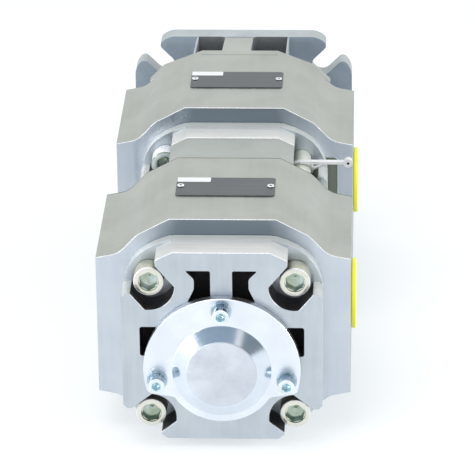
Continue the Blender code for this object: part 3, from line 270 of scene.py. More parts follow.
CIRCLIP_EAR_RADIUS = 0.0034
CIRCLIP_EYE_RADIUS = 0.0012

# Studio: lamps are place, size, power and colour; screens are azimuth and elevation in degrees,
# size and display colour
ROOM_LIGHT = (0.95, 0.98, 1.0, 1)
ROOM_STRENGTH = 0.75
LAMPS = {"lamp_top": ((-0.5, -0.6, 2.2), 1.6, 14, (1.0, 0.99, 0.96)),
         "lamp_left": ((-2.0, -1.6, 1.2), 1.2, 14, (0.92, 0.97, 1.0)),
         "lamp_wedge": ((-1.30, -1.60, 0.46), 0.36, 5, (1.0, 1.0, 1.0)),
         "lamp_right": ((2.4, -0.5, 0.9), 1.0, 24, (0.95, 0.98, 1.0))}
LAMP_AIM = (0, 0, 0.1)
FLOOR_SIZE = 6
FLOOR_GAP = 0.0005
FLOOR_COLOUR = (0.50, 0.48, 0.46, 1)
FLOOR_GLOW = (0.52, 0.56, 0.60, 1)
CAMERA_TURNS = (24.02, 2.45, -0.63)  # down, left and roll in degrees
CAMERA_LENS = 258.65
CAMERA_SENSOR = 36
CAMERA_REACH = 50
CAMERA_PLACE = (0.11546, -2.42772, 1.16593)
SCREEN_DISTANCE = 1.8
SCREENS = {"screen_above": ((-11, 29), (1.70, 0.90), (154, 172, 188)),
           "screen_right": ((38, 11), (0.84, 0.94), (136, 148, 156)),
           "screen_left": ((-54, 2), (0.40, 0.60), (186, 190, 226))}

# Finishes
WAVES_PER_PITCH = 6.3
MARK_DEPTH = 0.00002
# centre and size, in X and Z, of the shade painted on the end faces above the covers
PAINTED_SHADE_CENTRE = (0, RING_Z + 0.086)
PAINTED_SHADE_SIZE = (0.074, 0.052)
UV_PER_METRE = 10

# Smoothness: sides of round shapes, angles in degrees, and distances at which points are one
FINE = 96
ROUND = 48
SMALL = 24
CORNER_ANGLE = 20
SMOOTH_ANGLE = 50
FLAT_ANGLE = 0.1
SAME_POINT = 0.00001
SAME_SPUN_POINT = 0.000005

# How squarely a face looks along an axis, as the share of its normal
FLAT = 0.98
SQUARE = 0.9
UPWARD = 0.7
SLANTED = 0.3
ACROSS = 0.1


# Materials

def linear(colour):
    """A colour written as 0-255 display values, as the linear values that shaders take."""
    return tuple((c / 255 / 12.92) if c <= 10 else ((c / 255 + 0.055) / 1.055) ** 2.4 for c in colour)


def add_node(nodes, kind, settings=None, **inputs):
    """A shader node with its settings and the values of its inputs; an input's spaces are written _."""
    node = nodes.new("ShaderNode" + kind)
    for name, value in (settings or {}).items():
        setattr(node, name, value)
    set_inputs(node, **inputs)
    return node


def set_inputs(node, **inputs):
    for name, value in inputs.items():
        node.inputs[name.replace("_", " ")].default_value = value


def new_material(name):
    """A material with its nodes and links."""
    material = bpy.data.materials.new(name)
    material.use_nodes = True
    return material, material.node_tree.nodes, material.node_tree.links


class Finish:
    """A material whose nodes are added one by one from the object's own coordinates."""

    def __init__(self, name, colour, roughness, metallic=1.0):
        self.material, self.nodes, self.links = new_material(name)
        self.shader = self.nodes["Principled BSDF"]
        set_inputs(self.shader, Base_Color=(*linear(colour), 1), Roughness=roughness, Metallic=metallic)
        self.roughness = roughness
        self.coordinates = self.nodes.new("ShaderNodeTexCoord").outputs["Object"]
        self.height = None

    def pattern(self, scale, stretch=(1, 1, 1), detail=4.0, rough=0.55):
        """A noise over the surface; stretch lengthens its marks along an axis."""
        noise = add_node(self.nodes, "TexNoise", Scale=scale, Detail=detail, Roughness=rough)
        self.map_to(noise, Scale=stretch)
        return noise.outputs[0]

    def map_to(self, texture, **mapping):
        """Gives a texture the object's coordinates, mapped."""
        mapped = add_node(self.nodes, "Mapping", **mapping)
        self.links.new(self.coordinates, mapped.inputs["Vector"])
        self.links.new(mapped.outputs["Vector"], texture.inputs["Vector"])

    def spot(self, centre, size):
        """One at a point seen along the shafts, falling to zero at a distance of size in X and Z."""
        gradient = add_node(self.nodes, "TexGradient", {"gradient_type": "SPHERICAL"})
        self.map_to(gradient, Scale=(1 / size[0], 0, 1 / size[1]),
                    Location=(-centre[0] / size[0], 0, -centre[1] / size[1]))
        return gradient.outputs["Fac"]

    def spread(self, value, first, last, start=0.3, end=0.7):
        """The pattern's values carried over to another range."""
        ranged = add_node(self.nodes, "MapRange", From_Min=start, From_Max=end, To_Min=first, To_Max=last)
        self.links.new(value, ranged.inputs["Value"])
        return ranged.outputs["Result"]

    def tint(self, value, colours):
        """The pattern as colour, from the first to the last of some display colours."""
        ramp = add_node(self.nodes, "ValToRGB")
        while len(ramp.color_ramp.elements) < len(colours):
            ramp.color_ramp.elements.new(0.5)
        for i, (element, colour) in enumerate(zip(ramp.color_ramp.elements, colours)):
            element.position = 0.3 + 0.4 * i / (len(colours) - 1)
            element.color = (*linear(colour), 1)
        self.links.new(value, ramp.inputs["Fac"])
        self.links.new(ramp.outputs["Color"], self.shader.inputs["Base Color"])

    def shade(self, value, colour, amount, start=0.3, end=0.7):
        """Mixes a colour into the base colour where a pattern is high."""
        source = self.shader.inputs["Base Color"]
        mix = add_node(self.nodes, "Mix", {"data_type": "RGBA"}, B=(*linear(colour), 1))
        self.links.new(source.links[0].from_socket, mix.inputs["A"])
        self.links.new(self.spread(value, 0, amount, start, end), mix.inputs["Factor"])
        self.links.new(mix.outputs["Result"], source)

    def vary_roughness(self, value, spread):
        low_value, high_value = self.roughness - spread, self.roughness + spread
        self.links.new(self.spread(value, low_value, high_value), self.shader.inputs["Roughness"])

    def relief(self, value, depth):
        """Adds a pattern to the surface's relief; depth is in metres."""
        bump = add_node(self.nodes, "Bump", Distance=depth, Strength=1.0)
        self.links.new(value, bump.inputs["Height"])
        if self.height is not None:
            self.links.new(self.height, bump.inputs["Normal"])
        self.height = bump.outputs["Normal"]
        self.links.new(self.height, self.shader.inputs["Normal"])


def brighter(colour, by):
    return tuple(max(0, min(255, c + by)) for c in colour)


def machined(name, colour, roughness, lay, metallic=0.9, mottling=7):
    """Machined metal: soft mottling, fine cutting marks along one direction and small dents."""
    finish = Finish(name, colour, roughness, metallic)
    cloud = finish.pattern(28, detail=6)
    finish.tint(cloud, [brighter(colour, -mottling), colour, brighter(colour, mottling)])
    marks = finish.pattern(1.0, lay, detail=3)
    finish.shade(marks, brighter(colour, 3 * mottling), 0.35)
    stains = finish.pattern(11, detail=8, rough=0.7)
    finish.shade(stains, brighter(colour, -3 * mottling), 0.5, 0.56, 0.8)
    return cut_surface(finish, marks)


def cut_surface(finish, marks):
    """Adds cutting marks and small dents to a finish's surface."""
    finish.vary_roughness(marks, 0.06)
    finish.relief(marks, MARK_DEPTH)
    finish.relief(finish.pattern(420, detail=2), 1.5 * MARK_DEPTH)
    return finish.material


def make_end_face():
    """The housings' milled end faces, with a painted shade above the cover."""
    finish = Finish("milled_end_face", (196, 204, 214), 0.36, 0.9)
    finish.tint(finish.pattern(28, detail=6), [(190, 199, 210), (197, 205, 215), (203, 210, 219)])
    marks = finish.pattern(1.0, (160, 160, 14), detail=3)
    finish.shade(marks, (216, 222, 230), 0.35)
    # painted shade: a dark slate patch on the end faces above the cover, where the real face lies in shade
    finish.shade(finish.spot(PAINTED_SHADE_CENTRE, PAINTED_SHADE_SIZE), (122, 132, 142), 1.0, 0.0, 0.5)
    return cut_surface(finish, marks)


def cast(name, colour, roughness, metallic=0.6, depth=0.00018):
    """Raw casting skin: sandy grain, shallow waves and stains."""
    finish = Finish(name, colour, roughness, metallic)
    finish.tint(finish.pattern(38, detail=7), [brighter(colour, -10), colour, brighter(colour, 9)])
    finish.shade(finish.pattern(14, detail=8, rough=0.7), brighter(colour, -28), 0.5, 0.55, 0.8)
    grain = finish.pattern(650, detail=4)
    finish.vary_roughness(grain, 0.08)
    finish.relief(finish.pattern(70, detail=3), depth * 2)
    finish.relief(grain, depth)
    return finish.material


def plain_metal(name, colour, roughness, metallic=1.0, grain=320, depth=0.000004, tints=None):
    """Small bright parts: zinc, steel or bronze with a light mottling."""
    finish = Finish(name, colour, roughness, metallic)
    tints = tints or [brighter(colour, -12), colour, brighter(colour, 10)]
    finish.tint(finish.pattern(120, detail=5), tints)
    fine = finish.pattern(grain, detail=3)
    finish.vary_roughness(fine, 0.07)
    if depth:
        finish.relief(fine, depth)
    return finish.material


def rings(finish, centre, pitch, depth):
    """Turning marks: fine rings about a line along Y."""
    wave = add_node(finish.nodes, "TexWave", {"wave_type": "RINGS", "rings_direction": "Y"},
                    Scale=1 / (pitch * WAVES_PER_PITCH), Distortion=0.4, Detail=2.0)
    finish.map_to(wave, Location=(-centre[0], 0, -centre[1]))
    finish.relief(wave.outputs["Fac"], depth)


END_FACE = make_end_face()
PROFILE = machined("drawn_profile", (175, 180, 174), 0.42, (230, 9, 230))
COVER_METAL = machined("milled_cover", (190, 198, 205), 0.34, (220, 220, 12))
COVER_SIDE = machined("cover_side", (222, 224, 221), 0.42, (10, 260, 260), 0.55)
COUPLING_SIDE = machined("coupling_side", (178, 184, 180), 0.42, (10, 260, 260))
# painted shade: the dark floor and walls of the side recess
RECESS_PAINTED_SHADE = machined("side_recess_painted_shade", (122, 128, 118), 0.5, (200, 200, 14))
# painted shade: dark grey inside the ports' thread holes
THREAD_BORE_PAINTED_SHADE = plain_metal("threaded_bore_painted_shade", (96, 96, 98), 0.4)
# painted shade: near-black walls and floors of the near cover's screw pockets
PAINTED_SHADE_POCKET = plain_metal("pocket_painted_shade", (44, 42, 46), 0.5, 0.6,
                          tints=[(34, 33, 37), (44, 42, 46), (60, 58, 60)])
# painted highlight: a near-white material on broken edges, standing in for their bright edge lines
PAINTED_HIGHLIGHT_EDGE = plain_metal("broken_edge_painted_highlight", (250, 252, 255), 0.3, 0.35)
RAW_CASTING = cast("raw_casting", (184, 191, 194), 0.55)
# painted shade: near-black walls of windows and holes
HOLLOW_PAINTED_SHADE = cast("hollow_painted_shade", (52, 50, 52), 0.7, 0.3)
SHADED_POCKET = plain_metal("shaded_pocket", (98, 104, 98), 0.5, 0.6,
                            tints=[(84, 90, 86), (100, 105, 99), (118, 124, 120)])
# painted shade: a darker copy of the yellow zinc for the heads' sides
YELLOW_ZINC_SHADED_SIDE = plain_metal("yellow_zinc_side_painted_shade", (198, 200, 182), 0.42, 0.8, depth=0)
# painted light: a paler, less metallic copy of the zinc for the far screws in their shaded pockets
FAR_ZINC_PAINTED_LIGHT = plain_metal("far_zinc_painted_light", (220, 227, 228), 0.4, 0.5, depth=0)
# painted shade: a darker copy of the raw casting for the back of the flange plate
REAR_CASTING_PAINTED_SHADE = cast("rear_casting_painted_shade", (158, 170, 182), 0.55)
SHADED_CASTING = cast("shaded_casting", (122, 126, 128), 0.7, 0.3)
# painted shade: a dark line along the near housing's upper rear edge
PAINTED_SHADE_EDGE = plain_metal("rear_edge_painted_shade", (84, 88, 84), 0.5, 0.6)
# painted highlight: the light line on the recess's lip
RECESS_LIP_PAINTED_HIGHLIGHT = plain_metal("recess_lip_painted_highlight", (236, 242, 238), 0.4, 0.4, depth=0)
YELLOW_ZINC = plain_metal("yellow_zinc", (224, 225, 212), 0.3,
                          tints=[(218, 220, 204), (225, 225, 212), (228, 226, 222)])
BLUE_ZINC = plain_metal("blue_zinc", (176, 194, 206), 0.24,
                        tints=[(158, 178, 192), (178, 196, 208), (204, 218, 226)])
# painted light: a lighter copy of the blue zinc for the cap screws' fronts
CAP_ZINC_PAINTED_LIGHT = plain_metal("cap_zinc_front_painted_light", (230, 241, 244), 0.3, 0.8)
STUD_ZINC = plain_metal("stud_zinc", (226, 229, 219), 0.42, 0.4, depth=0)
# painted glint: a light blue copy of the zinc inside the cap screws' sockets
BLUE_SOCKET_PAINTED_GLINT = plain_metal("blue_socket_painted_glint", (206, 232, 240), 0.3, 0.7, depth=0)
# painted glints: a greenish zinc with blue-white tints inside the cover screws' sockets
SOCKET_PAINTED_GLINT = plain_metal("socket_zinc_painted_glint", (176, 190, 176), 0.2,
                           tints=[(150, 166, 146), (178, 190, 178), (190, 206, 220)])
RIVET_METAL = plain_metal("rivet_aluminium", (240, 241, 242), 0.35, 0.8)
KEY_STEEL = plain_metal("key_steel", (122, 124, 128), 0.35)
GROUND_STEEL = plain_metal("ground_steel", (180, 182, 184), 0.28)
GEAR_STEEL = plain_metal("gear_steel", (150, 150, 152), 0.32)
BRONZE = plain_metal("bearing_bronze", (178, 140, 84), 0.38)
BLACK_OXIDE = plain_metal("black_oxide", (44, 43, 44), 0.45)


def make_turned_metal(name, colour, roughness, anisotropy, mottling=5):
    """Turned aluminium; its piece has a UV map whose U runs round the shaft's axis."""
    finish = Finish(name, colour, roughness)
    finish.tint(finish.pattern(30, detail=5), [brighter(colour, -8), colour, brighter(colour, 7)])
    rings(finish, SHAFT, 0.0004, 0.000004)
    finish.shade(finish.pattern(75, detail=8, rough=0.7), brighter(colour, -mottling), 0.7, 0.42, 0.7)
    set_inputs(finish.shader, Anisotropic=anisotropy)
    tangent = add_node(finish.nodes, "Tangent", {"direction_type": "UV_MAP", "uv_map": "turning"})
    finish.links.new(tangent.outputs["Tangent"], finish.shader.inputs["Tangent"])
    return finish.material


def make_plastic(name, colour, roughness, subsurface=0.0, transmission=0.0, glow=0.0):
    finish = Finish(name, colour, roughness, 0.0)
    finish.tint(finish.pattern(60, detail=4), [brighter(colour, -6), colour, brighter(colour, 5)])
    finish.relief(finish.pattern(500, detail=3), 0.00003)
    # glow paints light into the plastic through its emission
    set_inputs(finish.shader, Subsurface_Weight=subsurface, Subsurface_Radius=(0.002, 0.002, 0.002),
               Transmission_Weight=transmission, Emission_Color=(*linear(colour), 1), Emission_Strength=glow)
    return finish.material


CAP_METAL = make_turned_metal("turned_aluminium", (232, 238, 247), 0.26, 0.7)
CAP_CONE_METAL = make_turned_metal("turned_cone", (222, 230, 240), 0.14, 0.5)
CAP_RIM_METAL = plain_metal("cap_rim", (216, 220, 228), 0.34)
CAP_MIDDLE_METAL = make_turned_metal("turned_middle", (216, 222, 230), 0.36, 0.5, 22)
# painted light: the yellow discs glow faintly
YELLOW_PLASTIC = make_plastic("yellow_plastic", (255, 254, 72), 0.42, 0.1, glow=0.14)
CLEAR_PLASTIC = make_plastic("clear_plastic", (250, 252, 252), 0.32, 0.3, 0.2)
BLACK_RUBBER = make_plastic("black_rubber", (30, 30, 31), 0.65)
PLATE_DARK = machined("anodised_plate", (96, 101, 104), 0.4, (9, 400, 9), 0.7, 4)
PLATE_LIGHT = machined("plate_field", (240, 242, 245), 0.42, (9, 400, 9), 0.6, 4)


# Shapes

def new_piece(name, shape, *materials):
    """A bmesh as an object in the scene."""
    mesh = bpy.data.meshes.new(name)
    shape.to_mesh(mesh)
    shape.free()
    piece = bpy.data.objects.new(name, mesh)
    bpy.context.scene.collection.objects.link(piece)
    add_looks(piece, *materials)
    return piece


def cylinder(radius, start, end, centre, sides=ROUND, axis="Y", material=None, end_radius=None, turn=0):
    """A cylinder or cone along an axis, turned in degrees; centre is its place across the axis."""
    turns = {"X": Matrix.Rotation(math.pi / 2, 4, "Y"), "Y": Matrix.Rotation(-math.pi / 2, 4, "X"),
             "Z": Matrix.Identity(4)}
    middle = (start + end) / 2
    places = {"X": (middle, *centre), "Y": (centre[0], middle, centre[1]), "Z": (*centre, middle)}
    shape = bmesh.new()
    bmesh.ops.create_cone(
        shape, cap_ends=True, segments=sides, radius1=radius, depth=end - start,
        radius2=radius if end_radius is None else end_radius,
        matrix=Matrix.Translation(places[axis]) @ turns[axis] @ Matrix.Rotation(math.radians(turn), 4, "Z"))
    return new_piece("cylinder", shape, material or END_FACE)


def prism(name, loop, start, end, material, axis="Y", corner=0.0, steps=6, edge=0.0, edge_material=None):
    """A flat outline carried along an axis; corner rounds the outline's sharp corners.

    The outline's points are (x, z) along Y, (y, z) along X and (x, y) along Z. With an edge both
    ends' edges are broken by that much.
    """
    places = {"X": lambda a, b: (start, a, b), "Y": lambda a, b: (a, start, b),
              "Z": lambda a, b: (a, b, start)}
    ways = {"X": (1, 0, 0), "Y": (0, 1, 0), "Z": (0, 0, 1)}
    shape = bmesh.new()
    shape.faces.new([shape.verts.new(places[axis](a, b)) for a, b in loop])
    if corner:
        sharp = [vert for vert in shape.verts if vert.calc_edge_angle() > math.radians(CORNER_ANGLE)]
        bmesh.ops.bevel(shape, geom=sharp, offset=corner, segments=steps, profile=0.5, affect="VERTICES",
                        material=-1)
    carried = bmesh.ops.extrude_face_region(shape, geom=shape.faces[:])
    moved = [item for item in carried["geom"] if isinstance(item, bmesh.types.BMVert)]
    bmesh.ops.translate(shape, verts=moved, vec=Vector(ways[axis]) * (end - start))
    bmesh.ops.recalc_face_normals(shape, faces=shape.faces)
    if edge:
        along = Vector(ways[axis])
        ends = [item for item in shape.edges
                if abs((item.verts[0].co - item.verts[1].co).dot(along)) < edge / 10]
        bmesh.ops.bevel(shape, geom=ends, offset=edge, segments=2, profile=0.5, affect="EDGES",
                        material=1 if edge_material else -1, clamp_overlap=False)
        bmesh.ops.recalc_face_normals(shape, faces=shape.faces)
    return new_piece(name, shape, *([material, edge_material] if edge_material else [material]))


def block(name, first, last, material):
    """A block between two corners."""
    shape = bmesh.new()
    size = [b - a for a, b in zip(first, last)]
    middle = [(a + b) / 2 for a, b in zip(first, last)]
    bmesh.ops.create_cube(shape, size=1, matrix=Matrix.Translation(middle) @ Matrix.Diagonal((*size, 1)))
    return new_piece(name, shape, material)


def turned(name, profile, centre, material, steps=ROUND, closed=False):
    """A profile of (radius, y) points turned about a line along Y."""
    shape = bmesh.new()
    points = [shape.verts.new((centre[0] + radius, y, centre[1])) for radius, y in profile]
    edges = [shape.edges.new(pair) for pair in zip(points, points[1:])]
    if closed:
        edges.append(shape.edges.new((points[-1], points[0])))
    bmesh.ops.spin(shape, geom=points + edges, cent=(centre[0], 0, centre[1]), axis=(0, 1, 0),
                   angle=2 * math.pi, steps=steps, use_merge=True)
    bmesh.ops.remove_doubles(shape, verts=shape.verts, dist=SAME_SPUN_POINT)
    bmesh.ops.recalc_face_normals(shape, faces=shape.faces)
    return new_piece(name, shape, material)


def add_looks(piece, *materials):
    """Adds materials behind those that a piece has."""
    for material in materials:
        piece.data.materials.append(material)


def look_slots(piece):
    """The slot number of each of a piece's materials."""
    return {material.name: i for i, material in enumerate(piece.data.materials)}


def look_of(piece, face):
    """The name of a face's material."""
    return piece.data.materials[face.material_index].name


def reshape(piece, operation, tools):
    """Cuts tools from a piece or joins them to it, and removes the tools."""
    group = bpy.data.collections.new(piece.name + "_tools")
    for tool in tools:
        group.objects.link(tool)
    change = piece.modifiers.new(operation.lower(), "BOOLEAN")
    change.operation = operation
    change.operand_type = "COLLECTION"
    change.collection = group
    change.solver = "EXACT"
    change.material_mode = "TRANSFER"
    bpy.context.view_layer.update()
    evaluated = piece.evaluated_get(bpy.context.evaluated_depsgraph_get())
    shaped = bpy.data.meshes.new_from_object(evaluated)
    piece.modifiers.clear()
    piece.data = shaped
    for tool in tools:
        bpy.data.objects.remove(tool)
    bpy.data.collections.remove(group)


@contextlib.contextmanager
def mesh_of(piece):
    """A piece's mesh to be changed, and written back after that."""
    shape = bmesh.new()
    shape.from_mesh(piece.data)
    yield shape
    shape.to_mesh(piece.data)
    shape.free()


def split_across(piece, y):
    """Cuts a piece's faces along a plane across Y, so that each side can have its own finish."""
    with mesh_of(piece) as shape:
        bmesh.ops.bisect_plane(shape, geom=shape.verts[:] + shape.edges[:] + shape.faces[:],
                               plane_co=(0, y, 0), plane_no=(0, 1, 0))


def clean(piece, by_face=None):
    """Merges flat facets and doubles; by_face picks a slot for each face from its normal and centre."""
    with mesh_of(piece) as shape:
        bmesh.ops.remove_doubles(shape, verts=shape.verts, dist=SAME_POINT)
        if by_face:
            for face in shape.faces:
                face.material_index = by_face(face)
        bmesh.ops.dissolve_limit(shape, angle_limit=math.radians(FLAT_ANGLE), verts=shape.verts,
                                 edges=shape.edges, delimit={"MATERIAL"})


def finish_piece(piece, name, slot, nodes=(), edge=0.0, segments=2, sharp=32, even=False, body="pump_body"):
    """Breaks the edges, sets the shading, ties a piece to its body and hides the nodes it stands for."""
    piece.name = name
    piece.data.name = name
    if edge:
        bevel = piece.modifiers.new("broken_edges", "BEVEL")
        bevel.width = edge
        bevel.segments = segments
        bevel.limit_method = "ANGLE"
        bevel.angle_limit = math.radians(sharp)
        bevel.miter_outer = "MITER_ARC"
    piece.data.shade_smooth()
    if even:
        piece.data.set_sharp_from_angle(angle=math.radians(SMOOTH_ANGLE))
    if edge or even:
        flat = piece.modifiers.new("flat_faces", "WEIGHTED_NORMAL")
        flat.mode = "FACE_AREA"
        flat.keep_sharp = True
    else:
        piece.data.set_sharp_from_angle(angle=math.radians(sharp))
    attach(piece, body)
    if nodes:
        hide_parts(*nodes)


def stand_in(piece, node, slot, *edge, **shading):
    """Finishes a piece that stands for one node."""
    finish_piece(piece, node + "_fine", slot, [node], *edge, **shading)


def polar(centre, radius, angle):
    """The point at a radius and an angle about a centre."""
    return (centre[0] + radius * math.cos(angle), centre[1] + radius * math.sin(angle))


def arc(centre, radius, start, end, steps):
    """Points on an arc, both ends included; angles in degrees."""
    angles = [math.radians(start + (end - start) * i / steps) for i in range(steps + 1)]
    return [polar(centre, radius, angle) for angle in angles]


def mirrored(points):
    """The mirror image across X, in reversed order so that it continues the outline."""
    return [(-x, z) for x, z in reversed(points)]


def blend_curve(start, end, start_slope, end_slope, steps):
    """A smooth curve that leaves and arrives at the given slopes."""
    reach = (end[0] - start[0]) * CURVE_REACH
    first = (start[0] + reach, start[1] + reach * start_slope)
    second = (end[0] - reach, end[1] - reach * end_slope)
    controls = (start, first, second, end)
    points = []
    for i in range(steps + 1):
        t = i / steps
        weights = ((1 - t) ** 3, 3 * t * (1 - t) ** 2, 3 * t * t * (1 - t), t ** 3)
        points.append(tuple(sum(w * point[k] for w, point in zip(weights, controls)) for k in (0, 1)))
    return points


# Castings

def casting_outline(half_width, winged):
    """Outline of a housing, or of the flange's foot, in X and Z."""
    shoulder = (SHOULDER_HALF, CASTING_TOP - SHOULDER_DROP)
    if winged:
        shelf = (SHELF_HALF, CASTING_TOP - SHELF_DROP)
        edge = (half_width, CASTING_TOP - WING_EDGE_DROP)
        slope = (edge[1] - shelf[1]) / (edge[0] - shelf[0])
        knee = blend_curve(shoulder, shelf, KNEE_SLOPE, slope, 14)
        quarter = [(TOP_FLAT_HALF, CASTING_TOP)] + knee + [edge]
    else:
        quarter = [(FOOT_FLAT_HALF, CASTING_TOP), shoulder,
                   (half_width, CASTING_TOP - SHOULDER_DROP - (half_width - SHOULDER_HALF))]
    right = quarter + [(x, 2 * CASTING_MIDDLE - z) for x, z in reversed(quarter)]
    return right + mirrored(right)


def cover_corner(top, sizes, sign):
    """From the top or bottom flat, round the screw pocket, to the side, on the right.

    The pocket is a round hollow about the screw with a way out that points from the shaft's axis.
    """
    flat_half, shoulder_half, drop, tip = sizes
    screw = SCREW_SPACING / 2
    turn = math.degrees(math.asin(POCKET_HALF_WIDTH / POCKET_RADIUS))
    way = pocket_way(sign)
    wall = arc((screw, screw), POCKET_RADIUS, way + 180 - turn, way + 180 + turn, 24)
    rise = math.tan(math.radians(way))
    points = [(flat_half, top), (shoulder_half, top - drop),
              (shoulder_half, wall[0][1] + (shoulder_half - wall[0][0]) * rise)] + wall
    points += [(wall[-1][0] + (tip - wall[-1][1]) / rise, tip), (COVER_HALF_WIDTH - COVER_SIDE_CHAMFER, tip),
               (COVER_HALF_WIDTH, tip - COVER_SIDE_CHAMFER)]
    return [(x, RING_Z + sign * z) for x, z in points]


def pocket_way(sign):
    """The angle at which a screw pocket opens, as if all were in the upper right corner."""
    screw = SCREW_SPACING / 2
    return math.degrees(math.atan2(screw + sign * (RING_Z - SHAFT_Z), screw))


def cover_outline():
    """Outline of a cover's raised part and of the coupling housing: open corners for screw heads."""
    upper, lower = cover_corner(COVER_TOP, COVER_UPPER, 1), cover_corner(COVER_BOTTOM, COVER_LOWER, -1)
    right = upper + list(reversed(lower))
    return right + mirrored(right)


def cover_foot_outline():
    """Outline of a cover's foot, which keeps below the housing's sloping shoulders."""
    right = [(x, RING_Z + z) for x, z in COVER_FOOT_CORNER]
    right += [(x, RING_Z - z + COVER_FOOT_LOWER) for x, z in reversed(COVER_FOOT_CORNER[1:])]
    right.append((COVER_LOWER[0], RING_Z - COVER_BOTTOM + GAP))
    return right + mirrored(right)


def screw_places():
    return {name: (sx * SCREW_SPACING / 2, RING_Z + sz * SCREW_SPACING / 2)
            for name, (sx, sz) in SCREW_CORNERS.items()}


def cap_screw_place(angle):
    return polar(SHAFT, CAP_SCREW_CIRCLE, math.radians(angle))


def make_cover(stage):
    """A bearing cover: foot, raised part with open corners, windows and bearing bore."""
    face = COVER_FACE[stage]
    back = HOUSING_FACE[stage] - GAP
    foot_face = back + GAP - COVER_FOOT_THICKNESS
    # painted shade in the screw pockets: dark on the near stage, lighter on the far
    pocket = PAINTED_SHADE_POCKET if stage == 2 else SHADED_POCKET
    cover = prism("cover", cover_foot_outline(), foot_face, back, COVER_SIDE, edge=COVER_EDGE)
    # the raised part's broken edges get the painted highlight
    reshape(cover, "UNION", [prism("raised", cover_outline(), face, back - GAP, COVER_SIDE, edge=COVER_EDGE,
                                   edge_material=PAINTED_HIGHLIGHT_EDGE)])
    tools = []
    for place in screw_places().values():
        tools.append(cylinder(SCREW_RADIUS + BOLT_GAP, foot_face - OVERRUN, back + OVERRUN, place, SMALL))
        # the spot face round each screw takes the pockets' painted shade
        tools.append(cylinder(SPOT_FACE_RADIUS, foot_face - OVERRUN, foot_face + POCKET_FLOOR_DEPTH, place,
                              ROUND, material=pocket))
    tools.append(cylinder(CAP_SPIGOT_RADIUS + GAP, face - OVERRUN, face + COVER_RECESS_DEPTH, SHAFT))
    tools.append(cylinder(BEARING_BORE_RADIUS, face, back + OVERRUN, SHAFT))
    for side in (-1, 1):
        # the windows' walls take painted shade
        for loop, corner in ((UPPER_WINDOW, UPPER_WINDOW_CORNER), (SIDE_WINDOW, SIDE_WINDOW_CORNER)):
            placed = [(side * x, RING_Z + z) for x, z in loop]
            tools.append(prism("window", placed, face - OVERRUN, face + WINDOW_DEPTH, HOLLOW_PAINTED_SHADE,
                               corner=corner))
    for angle in CAP_SCREWS.values():
        tools.append(cylinder(CAP_SCREW_RADIUS, face - OVERRUN, face + CAP_THREAD_DEPTH,
                              cap_screw_place(angle), SMALL))
    reshape(cover, "DIFFERENCE", tools)
    add_looks(cover, COVER_METAL, pocket)
    slots = look_slots(cover)
    places = [Vector(place) for place in screw_places().values()]

    def slot_for(face):
        """Keeps the windows' painted shade and the painted highlight on upper edges, and gives the pocket's
        painted shade to walls that face a screw.
        """
        middle = face.calc_center_median()
        at = Vector((middle.x, middle.z))
        name = look_of(cover, face)
        upper = middle.z > RING_Z + PAINTED_HIGHLIGHT_EDGE_FROM and abs(middle.x) < POCKET_REACH
        if name == PAINTED_HIGHLIGHT_EDGE.name and upper or name == HOLLOW_PAINTED_SHADE.name:
            return face.material_index
        if face.normal.y < -SLANTED:
            return slots[COVER_METAL.name]
        place = min(places, key=lambda place: (at - place).length)
        towards = place - at
        near = towards.length < POCKET_RADIUS + GAP
        faces_screw = near and towards.dot(Vector((face.normal.x, face.normal.z))) > 0
        inner = max(abs(middle.x), abs(middle.z - RING_Z)) < POCKET_REACH and abs(face.normal.y) < ACROSS
        outward = towards.dot(place - Vector(RING)) < 0 and middle.z > RING_Z
        return slots[pocket.name] if faces_screw and inner and not outward else slots[COVER_SIDE.name]

    clean(cover, slot_for)
    finish_piece(cover, f"cover_{stage}_casting", "cover", [f"bearing_cover_{stage}"], even=True)


